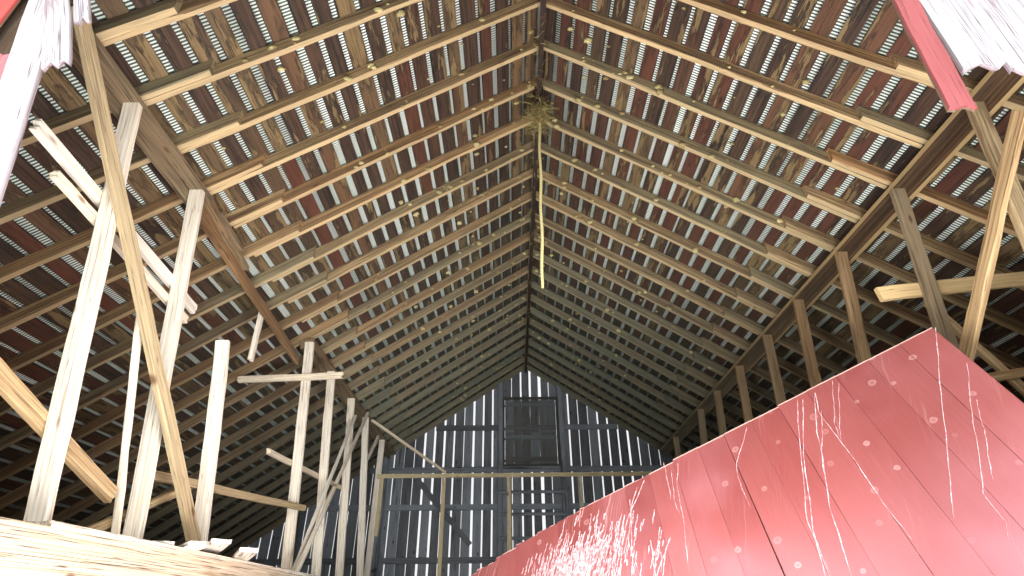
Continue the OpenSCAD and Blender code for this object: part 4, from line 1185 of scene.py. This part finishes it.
# Droppings on the fallen piece: half width of each long run and its way in metres, along the edge and down
runRoutes = [
    (0.0030, [(-0.01, 0.02), (0.29, 0.56), (0.60, 1.13)]),
    (0.0030, [(0.90, 0.04), (1.05, 0.43), (1.20, 0.85), (1.23, 1.17)]),
    (0.0030, [(0.78, 0.05), (0.83, 0.21), (0.82, 0.48), (0.82, 0.89), (0.81, 1.15)]),
    (0.0034, [(0.78, 0.05), (0.90, 0.33), (0.97, 0.56), (1.02, 0.71), (1.06, 0.83), (1.10, 1.02),
              (1.14, 1.21)]),
    (0.0034, [(0.87, 0.06), (1.04, 0.45), (1.19, 0.89), (1.23, 1.08), (1.25, 1.17)]),
    (0.0022, [(0.65, 0.03), (0.79, 0.34), (0.82, 0.49)]),
    (0.0022, [(0.63, 0.07), (0.82, 0.47)]),
    (0.0022, [(0.03, 0.36), (0.17, 0.60), (0.32, 0.88), (0.43, 1.07), (0.44, 1.23), (0.48, 1.30)]),
    (0.0022, [(1.27, 0.06), (1.43, 0.29), (1.46, 0.39), (1.46, 0.63)]),
    (0.0022, [(0.81, 0.21), (0.98, 0.57), (1.02, 0.71)]),
    (0.0022, [(1.81, 0.07), (1.86, 0.22), (1.88, 0.46), (1.94, 0.86)]),
    (0.0022, [(1.87, 0.10), (1.91, 0.34), (1.90, 0.46)]),
    (0.0022, [(0.14, 0.60), (0.25, 0.83), (0.36, 1.03)]),
    (0.0050, [(2.14, 0.55), (2.15, 0.69), (2.16, 0.81)]),
    (0.0050, [(2.00, 0.59), (2.09, 0.71), (2.16, 0.81)]),
    (0.0026, [(2.23, 0.17), (2.27, 0.45), (2.31, 0.75)]),
    (0.0026, [(2.16, 0.10), (2.21, 0.19), (2.30, 0.47), (2.26, 0.77)]),
    (0.0026, [(2.09, 0.07), (2.28, 0.32), (2.40, 0.58)]),
    (0.0026, [(1.91, 0.00), (1.92, 0.17), (1.93, 0.33)]),
]
runLook = {"narrow": 0.7, "stations": 40, "lift": 0.0010, "under": -0.003, "sway": 0.0035}
clusterLook = {"count": 640, "middle": (2.70, 0.46), "spread": (0.24, 0.14), "length": (0.03, 0.15),
               "half": (0.0012, 0.0040), "turn": 0.10, "edgePlaces": (0, 2.6, 3.1, 3.65),
               "edges": (0.04, 0.05, 0.09, 0.17), "stations": 8, "lift": 0.0012}
runInk = {"deep": (196, 146, 148), "pale": (230, 210, 212)}


def ribbons(name, routes, halfWidths, stations, lift, seed):
    # flat runs on the fallen piece: each route is resampled, shifted by slow waves, and given four sides
    rng = np.random.default_rng(seed)
    step = np.linspace(0, 1, stations)
    flat = []
    for route in routes:
        reach = np.concatenate([[0], np.cumsum(np.linalg.norm(np.diff(route, axis=0), axis=1))])
        flat.append(np.stack([np.interp(step * reach[-1], reach, route[:, k]) for k in (0, 1)], -1))
    flat = np.array(flat)
    flat[..., 0] += runLook["sway"] * smoothNoise(rng, (len(routes),), step, 4, 2.0)
    way = unit(np.gradient(flat, axis=1))
    uneven = (0.75 + 0.4 * smoothNoise(rng, (len(routes),), step, 4, 3.0)).clip(0.25, 1.4)
    half = np.array(halfWidths)[:, None] * uneven * np.minimum(1, 6 * (1.03 - step))
    aside = np.stack([-way[..., 1], way[..., 0]], -1) * half[..., None]
    left, right, under = flat - aside, flat + aside, runLook["under"]
    corners = ((left, under), (right, under), (right, lift), (left, lift))
    points = np.stack([panelSpot(spot[..., 0], spot[..., 1], out) for spot, out in corners], 2)
    return makeMesh(name, points, stripFaces(len(routes), stations))


def clusterRoutes(look):
    # short strokes down the fall line, thickest in the middle of the splashed patch
    rng = np.random.default_rng(83)
    count = look["count"]
    spot = np.array(look["middle"]) + rng.normal(size=(count, 2)) * look["spread"]
    spot[:, 1] = np.maximum(spot[:, 1], np.interp(spot[:, 0], look["edgePlaces"], look["edges"]))
    fall = -unit(np.array([edgeWay[2], fallWay[2]]))
    length = rng.uniform(*look["length"], count)[:, None, None]
    turn = rng.normal(0, look["turn"], (count, 1, 1)) * (1.0, 0)
    routes = spot[:, None] + (fall + turn) * length * np.array([0, 0.5, 1])[:, None]
    return routes, rng.uniform(*look["half"], count)


def dropMaterial(look):
    # chalky pink-white, uneven
    kit = Kit("droppings")
    grain = kit.noise(kit.objectPlace(), 40, 4.0)
    return kit.finish(kit.blend(look["deep"], look["pale"], grain.step(0.38, 0.6)), 0.85)


dropping = dropMaterial(runInk)
longRuns = [np.array(way) for _, way in runRoutes], [half * runLook["narrow"] for half, _ in runRoutes]
for name, runs, look, seed in (("longRuns", longRuns, runLook, 89),
                               ("splashedPatch", clusterRoutes(clusterLook), clusterLook, 90)):
    finishPiece(ribbons(name, *runs, look["stations"], look["lift"], seed), dropping, "red_boards")
print("droppings added")


def doorLeaf(door, low, high, rng):
    # a leaf of the hay door: upright boards, two ledges inside and strap hinges outside
    left, right = cutBoards(door["middle"] - door["half"], door["middle"] + door["half"], door["board"], rng,
                            (0.0008, 0.0015), (0.5, 0.5))
    thick = barn["board"]
    middle, out = (left + right) / 2, halfLength + thick / 2
    upright = boxPlanks(*(spotsOf(middle, out, z) for z in (low, high)), (1, 0, 0), (0, 1, 0), right - left,
                        thick)
    inset = door["ledgeIn"] + door["ledge"] / 2
    heights = np.array([low + inset, high - inset])
    ends, out = (door["middle"] - door["half"], door["middle"] + door["half"]), halfLength - thick / 2
    ledges = boxPlanks(*(spotsOf(x, out, heights) for x in ends), (0, 0, 1), (0, 1, 0), door["ledge"], thick)
    ends = (door["middle"] + door["strapFrom"], door["middle"] + door["strapTo"])
    out, heights = halfLength + thick + door["strapThick"] / 2, heights - door["strap"] / 2
    straps = boxPlanks(*(spotsOf(x, out, heights) for x in ends), (0, 0, 1), (0, 1, 0), door["strap"],
                       door["strapThick"])
    return np.concatenate([upright, ledges]), straps


doorRng = np.random.default_rng(84)
doorSplit, doorClear = hayDoor["low"] + hayDoor["lowLeaf"], hayDoor["clear"]
lowWood, lowStraps = doorLeaf(hayDoor, hayDoor["low"] + doorClear, doorSplit, doorRng)
highWood, highStraps = doorLeaf(hayDoor, doorSplit + doorClear, hayDoor["high"] - doorClear, doorRng)
for name, rings, seed, node in (("hayDoorUpper", highWood, 85, "hay_door_upper"),
                                ("hayDoorLower", lowWood, 86, "hay_door_lower")):
    finishPiece(boards(name, rings, gableLook, seed), woods["hayDoor"], "red_boards", node)

stoneLook = {"length": 0.34, "lengths": (0.6, 1.35), "rows": 2, "grid": (14, 10), "joint": 0.010,
             "bond": 0.12, "least": 0.05, "lastLeast": 0.1, "square": 0.38, "rough": 0.05}
wallLook = {"sideOut": 6.040, "endOut": 5.910, "in": 0.130, "depth": 0.260, "height": 0.250}
mortarLook = {"depthShare": 0.86, "lower": 0.014, "inset": 0.006}


def stoneBlocks(runs, rng):
    # middles and half sizes of the stones of each course, which break joint from row to row
    look, blocks = stoneLook, []
    for start, stop, axis, fixed in runs:
        for row in range(look["rows"]):
            place = start - (look["bond"] if row else 0)
            low, high = (wallLook["height"] * number / look["rows"] for number in (row, row + 1))
            while place < stop - look["least"]:
                length = look["length"] * rng.uniform(*look["lengths"])
                a, b = max(place, start), min(place + length, stop)
                if stop - b < look["lastLeast"]:
                    b = stop
                middle, half = np.zeros(3), np.zeros(3)
                middle[axis], half[axis] = (a + b) / 2, (b - a) / 2 - look["joint"] / 2
                middle[1 - axis], half[1 - axis] = fixed, wallLook["depth"] / 2
                middle[2], half[2] = (low + high) / 2, (high - low) / 2 - look["joint"] / 2 * (row == 0)
                blocks.append((middle, half))
                place = b if b == stop else place + length
    return np.array(blocks).transpose(1, 0, 2)


def stoneWall(name, runs, seed):
    # each stone is a rounded block: a sphere grid pushed towards its box by taking each part of the
    # direction to a small power, then roughened by slow waves; mortar lies behind
    rng = np.random.default_rng(seed)
    centre, half = stoneBlocks(runs, rng)
    rows, columns = stoneLook["grid"]
    way = sphereWays(rows, columns)
    block = np.sign(way) * np.abs(way) ** stoneLook["square"]
    rough = smoothNoise(rng, (len(centre), rows), np.arange(columns) / columns, 3, 1.0)
    rough = 1 - stoneLook["rough"] * np.abs(rough)
    for pole in (0, -1):
        rough[:, pole] = rough[:, pole].mean(axis=1, keepdims=True)
    points = centre[:, None, None] + block * half[:, None, None] * rough[..., None]
    faces = gridFaces(len(centre), rows, columns)[:, ::-1]
    return makeMesh(name, points, faces, {"boardTone": toneOf(rng, points).reshape(-1, 3)}, True, True)


def mortar(name, runs):
    # a plain core a little inside the stones, as long as the wall
    start, end, inset = [], [], mortarLook["inset"]
    for a, b, axis, fixed in runs:
        for spot, into in ((a + inset, start), (b - inset, end)):
            place = (spot, fixed) if axis == 0 else (fixed, spot)
            into.append(place + (wallLook["height"] / 2,))
    ways = [(1.0, 0, 0) if axis == 1 else (0, 1.0, 0) for _, _, axis, _ in runs]
    rings = boxPlanks(start, end, ways, (0, 0, 1), wallLook["depth"] * mortarLook["depthShare"],
                      wallLook["height"] - mortarLook["lower"])
    return boards(name, rings, {"stations": 30, "ease": 0.006, "wave": 0.0}, 95)


stoneInk = {"deep": (112, 106, 98), "pale": (176, 168, 154), "warm": (148, 120, 92), "moss": (96, 100, 78)}
mortarInk = {"deep": (150, 144, 132), "pale": (192, 186, 172)}


def stoneMaterial(look):
    # grey stone, each of its own tone, with moss in patches
    kit = Kit("fieldstone")
    toneA, toneB, _ = kit.axes(kit.attribute("boardTone"))
    grain = kit.noise(kit.objectPlace(), 38, 5.0, 0.65)
    patch = kit.noise(kit.objectPlace(), 5, 4.0)
    colour = kit.blend(look["deep"], look["pale"], (toneA * 0.6 + grain * 0.6 - 0.1).clip())
    colour = kit.tint(colour, look["warm"], (toneB * 0.7).step(0.35, 0.65) * 0.5)
    colour = kit.tint(colour, look["moss"], patch.step(0.55, 0.75) * 0.5)
    return kit.finish(colour, 0.88, kit.bump(grain, 0.006))


def mortarMaterial(look):
    kit = Kit("limeMortar")
    grain = kit.noise(kit.objectPlace(), 60, 5.0)
    return kit.finish(kit.blend(look["deep"], look["pale"], grain), 0.95, kit.bump(grain, 0.003))


# Runs of the foundation walls: start, stop, the axis they follow and their place on the other
endOut, opening, frontLine = wallLook["endOut"], barn["opening"], -halfLength + wallLook["in"]
sideRuns = [(-halfLength, halfLength, 1, side * wallLook["sideOut"]) for side in (-1, 1)]
endRuns = [(-endOut, endOut, 0, -frontLine), (-endOut, -opening, 0, frontLine),
           (opening, endOut, 0, frontLine)]
stoneFinish, mortarFinish = stoneMaterial(stoneInk), mortarMaterial(mortarInk)
for name, runs, node, seed in (("sideStones", sideRuns, "side_foundations", 91),
                               ("endStones", endRuns, "end_foundations", 92)):
    finishPiece(stoneWall(name, runs, seed), stoneFinish, "stone", node)
    finishPiece(mortar(name + "Mortar", runs), mortarFinish, "stone", node)
print("foundations laid")

nestLook = {"count": 520, "size": (0.012, 0.040), "grid": (7, 9), "rough": 0.25, "flat": (1.0, 0.55, 0.8),
            "middleOut": 0.9, "spread": 0.8, "out": (0.1, 2.6), "underRise": 0.105, "clear": 0.05}
nestInk = {"deep": (150, 132, 84), "pale": (214, 204, 146), "stain": (110, 92, 60)}


def lumps(name, centres, radii, look, seed):
    # each lump is a sphere grid, flattened, with its radius roughened by slow waves round it
    rng = np.random.default_rng(seed)
    rows, columns = look["grid"]
    waves = smoothNoise(rng, (len(centres), rows), np.arange(columns) / columns, 2, 1.0)
    rough = 1 + look["rough"] * waves
    rough[:, 0] = rough[:, -1] = 1
    reach = (radii[:, None, None] * rough)[..., None]
    points = centres[:, None, None] + sphereWays(rows, columns) * reach * look["flat"]
    faces = gridFaces(len(centres), rows, columns)[:, ::-1]
    return makeMesh(name, points, faces, {"boardTone": toneOf(rng, points).reshape(-1, 3)}, True, True)


def nestPlaces(look):
    # mud nests on the rafters' front faces, thicker towards the ridge
    rng = np.random.default_rng(101)
    count = look["count"]
    rafter = rng.integers(1, bays, count)
    out = np.abs(rng.normal(look["middleOut"], look["spread"], count)).clip(*look["out"])
    x = out * np.where(rng.random(count) < 0.5, -1, 1)
    y = -halfLength + rafter * bay
    z = ridgeUnder - out * rise + rng.uniform(0.0, barn["rafterDepth"], count)
    # every third one sits under the sheathing between two rafters instead
    third = np.arange(count) % 3 == 0
    y[third] += rng.uniform(look["clear"], bay - look["clear"], third.sum())
    z[third] = ridgeUnder - out[third] * rise + look["underRise"] / math.cos(pitch)
    small, large = look["size"]
    return spotsOf(x, y, z), small + (large - small) * rng.random(count) ** 2


def mudMaterial(look):
    kit = Kit("driedMud")
    tone = kit.axes(kit.attribute("boardTone"))[0]
    grain = kit.noise(kit.objectPlace(), 90, 4.0)
    colour = kit.tint(kit.blend(look["deep"], look["pale"], tone), look["stain"], grain.step(0.5, 0.7))
    return kit.finish(colour, 0.95, kit.bump(grain, 0.004))


mud = mudMaterial(nestInk)
finishPiece(lumps("mudNests", *nestPlaces(nestLook), nestLook, 102), mud, "rope")

hayLook = {"clump": 420, "bits": 520, "length": (0.05, 0.20), "bitLength": 0.45, "width": 0.0035,
           "stations": 6, "thick": 0.3, "taper": 0.6, "curl": 3.5, "droop": 0.9, "middle": (0, -2.62, 6.29),
           "spread": (0.035, 0.05, 0.095), "bitSpread": 0.022, "bitHeights": (6.49, 6.56), "top": 6.56}
hayInk = {"deep": (70, 58, 36), "pale": (190, 174, 108)}


def hayBlades(name, starts, ways, lengths, look, seed):
    # each blade is a thin four-sided strip that bends: place = start + way * s + a curl across growing with
    # s squared, and a droop that grows with s squared too
    rng = np.random.default_rng(seed)
    count, share = len(starts), np.linspace(0, 1, look["stations"])
    s = share * lengths[:, None]
    side = unit(np.cross(ways, rng.normal(size=(count, 3))))
    other = np.cross(ways, side)
    curl = rng.uniform(-look["curl"], look["curl"], (count, 1))
    centre = starts[:, None] + ways[:, None] * s[..., None] + side[:, None] * (curl * s ** 2)[..., None]
    centre[..., 2] -= look["droop"] * s ** 2
    width = look["width"] * (1 - look["taper"] * share)[:, None] * rng.uniform(0.6, 1.3, (count, 1, 1))
    across, deep = side[:, None] * width, other[:, None] * width * look["thick"]
    corners = (-across - deep, across - deep, across + deep, deep - across)
    points = np.stack([centre + corner for corner in corners], 2)
    faces = stripFaces(count, look["stations"])
    return makeMesh(name, points, faces, {"boardTone": toneOf(rng, points).reshape(-1, 3)})


def haySpots(look):
    # a clump round the carrier and shorter bits along the track
    rng = np.random.default_rng(103)
    clumpCount, bitCount = look["clump"], look["bits"]
    clump = np.array(look["middle"]) + rng.normal(size=(clumpCount, 3)) * look["spread"]
    along = rng.uniform(-halfLength + 0.2, halfLength - 0.3, bitCount)
    aside = rng.normal(0, look["bitSpread"], bitCount)
    starts = np.concatenate([clump, spotsOf(aside, along, rng.uniform(*look["bitHeights"], bitCount))])
    ways = unit(rng.normal(size=(clumpCount + bitCount, 3)) * (1, 1, 0.9))
    lengths = rng.uniform(*look["length"], clumpCount + bitCount)
    lengths[clumpCount:] *= look["bitLength"]
    starts[:, 2] = np.minimum(starts[:, 2], look["top"])
    return starts, ways, lengths


def hayMaterial(look):
    kit = Kit("oldHay")
    tone = kit.axes(kit.attribute("boardTone"))[0]
    grain = kit.noise(kit.objectPlace(), 150, 2.0)
    return kit.finish(kit.blend(look["deep"], look["pale"], (tone * 0.8 + grain * 0.4 - 0.1).clip()), 0.9)


finishPiece(hayBlades("hayClump", *haySpots(hayLook), hayLook, 104), hayMaterial(hayInk), "rope")
print("nests and hay added")

ironInk = {"deep": (34, 30, 28), "pale": (70, 56, 46), "rust": (120, 74, 44)}


def ironMaterial(look):
    # dark iron under patches of rust
    kit = Kit("rustyIron")
    spot = kit.noise(kit.objectPlace(), 16, 5.0, 0.65)
    fine = kit.noise(kit.objectPlace(), 120, 3.0)
    colour = kit.tint(kit.blend(look["deep"], look["pale"], fine), look["rust"], spot.step(0.5, 0.7) * 0.7)
    return kit.finish(colour, 0.6 + spot * 0.25, kit.bump(fine, 0.001), 0.35)


iron = ironMaterial(ironInk)
hinges = boards("hayDoorHinges", np.concatenate([lowStraps, highStraps]), {"stations": 6, "ease": 0.001}, 87)
finishPiece(hinges, iron, "track_iron", "hay_door_upper", "hay_door_lower")

# The remaining CAD nodes keep their shape and take a finish
plainFinish = {"sill_beams": woods["framing"], "eave_plates": woods["framing"],
               "ridge_board": woods["framing"], "hay_door_frame": woods["doorFrame"],
               "ridge_cap": capMaterial(capInk), "hay_track": iron, "hay_carrier": iron}
for name, material in plainFinish.items():
    data = nodes[name].data
    if len(data.materials):
        data.materials[0] = material
    else:
        data.materials.append(material)
print("plain nodes finished")

stageLook = {"half": 30.0, "under": -0.002, "colour": (226, 224, 220)}


def stageFloor(look):
    half, low = look["half"], look["under"]
    corners = np.array([(-half, -half, low), (half, -half, low), (half, half, low), (-half, half, low)])
    floor = makeMesh("stageFloor", corners, np.array([(0, 1, 2, 3)]))
    floor.data.materials.append(Kit("stagePaint").finish(ink(look["colour"]), 0.9))
    return floor


stageFloor(stageLook)
lampLook = (
    {"name": "openingLow", "at": (0.0, -5.7, 0.4), "to": (0.0, -1.6, 5.6), "size": (5.4, 1.6), "power": 445},
    {"name": "openingHigh", "at": (1.6, -10.4, 3.6), "to": (-1.0, -1.5, 3.2), "size": (5.5, 4.0),
     "power": 210, "spread": 110},
    {"name": "leftSide", "at": (-4.4, -7.4, 1.2), "to": (-2.6, -3.4, 2.9), "size": (1.6, 1.6),
     "power": 62, "spread": 110},
    {"name": "leftPosts", "at": (0.5, -4.4, 1.4), "to": (-2.6, 0.3, 3.0), "size": (0.9, 0.9), "power": 80},
    {"name": "sky", "at": (-7.0, -12.0, 12.0), "to": (0.0, 0.0, 3.0), "size": (9.0, 9.0), "power": 500})


def hangLamp(lamp):
    data = bpy.data.lights.new(lamp["name"], "AREA")
    data.shape = "RECTANGLE"
    data.size, data.size_y = lamp["size"]
    data.energy = lamp["power"]
    data.spread = math.radians(lamp.get("spread", 180))
    made = bpy.data.objects.new(lamp["name"], data)
    ahead = Vector(lamp["to"]) - Vector(lamp["at"])
    made.matrix_world = Matrix.Translation(lamp["at"]) @ ahead.to_track_quat("-Z", "Y").to_matrix().to_4x4()
    scene.collection.objects.link(made)


for lamp in lampLook:
    hangLamp(lamp)
worldLook = {"seen": ((1, 1, 1, 1), 1.0), "soft": ((0.93, 0.96, 1.0, 1), 0.75)}


def paleWorld(look):
    # white where the camera, a gloss or glass sees it, and softer where it lights the barn
    world = bpy.data.worlds.new("paleWorld")
    world.use_nodes = True
    tree = world.node_tree
    tree.nodes.clear()
    path = tree.nodes.new("ShaderNodeLightPath")
    seenBy = path.outputs["Is Camera Ray"]
    for ray in ("Is Glossy Ray", "Is Transmission Ray"):
        either = tree.nodes.new("ShaderNodeMath")
        either.operation = "MAXIMUM"
        tree.links.new(seenBy, either.inputs[0])
        tree.links.new(path.outputs[ray], either.inputs[1])
        seenBy = either.outputs[0]
    blend = tree.nodes.new("ShaderNodeMixShader")
    tree.links.new(seenBy, blend.inputs[0])
    for socket, key in enumerate(("soft", "seen"), 1):
        sky = tree.nodes.new("ShaderNodeBackground")
        sky.inputs["Color"].default_value, sky.inputs["Strength"].default_value = look[key]
        tree.links.new(sky.outputs[0], blend.inputs[socket])
    out = tree.nodes.new("ShaderNodeOutputWorld")
    tree.links.new(blend.outputs[0], out.inputs["Surface"])
    return world


scene.world = paleWorld(worldLook)
scene.view_settings.view_transform = "Standard"

print("scene ready")
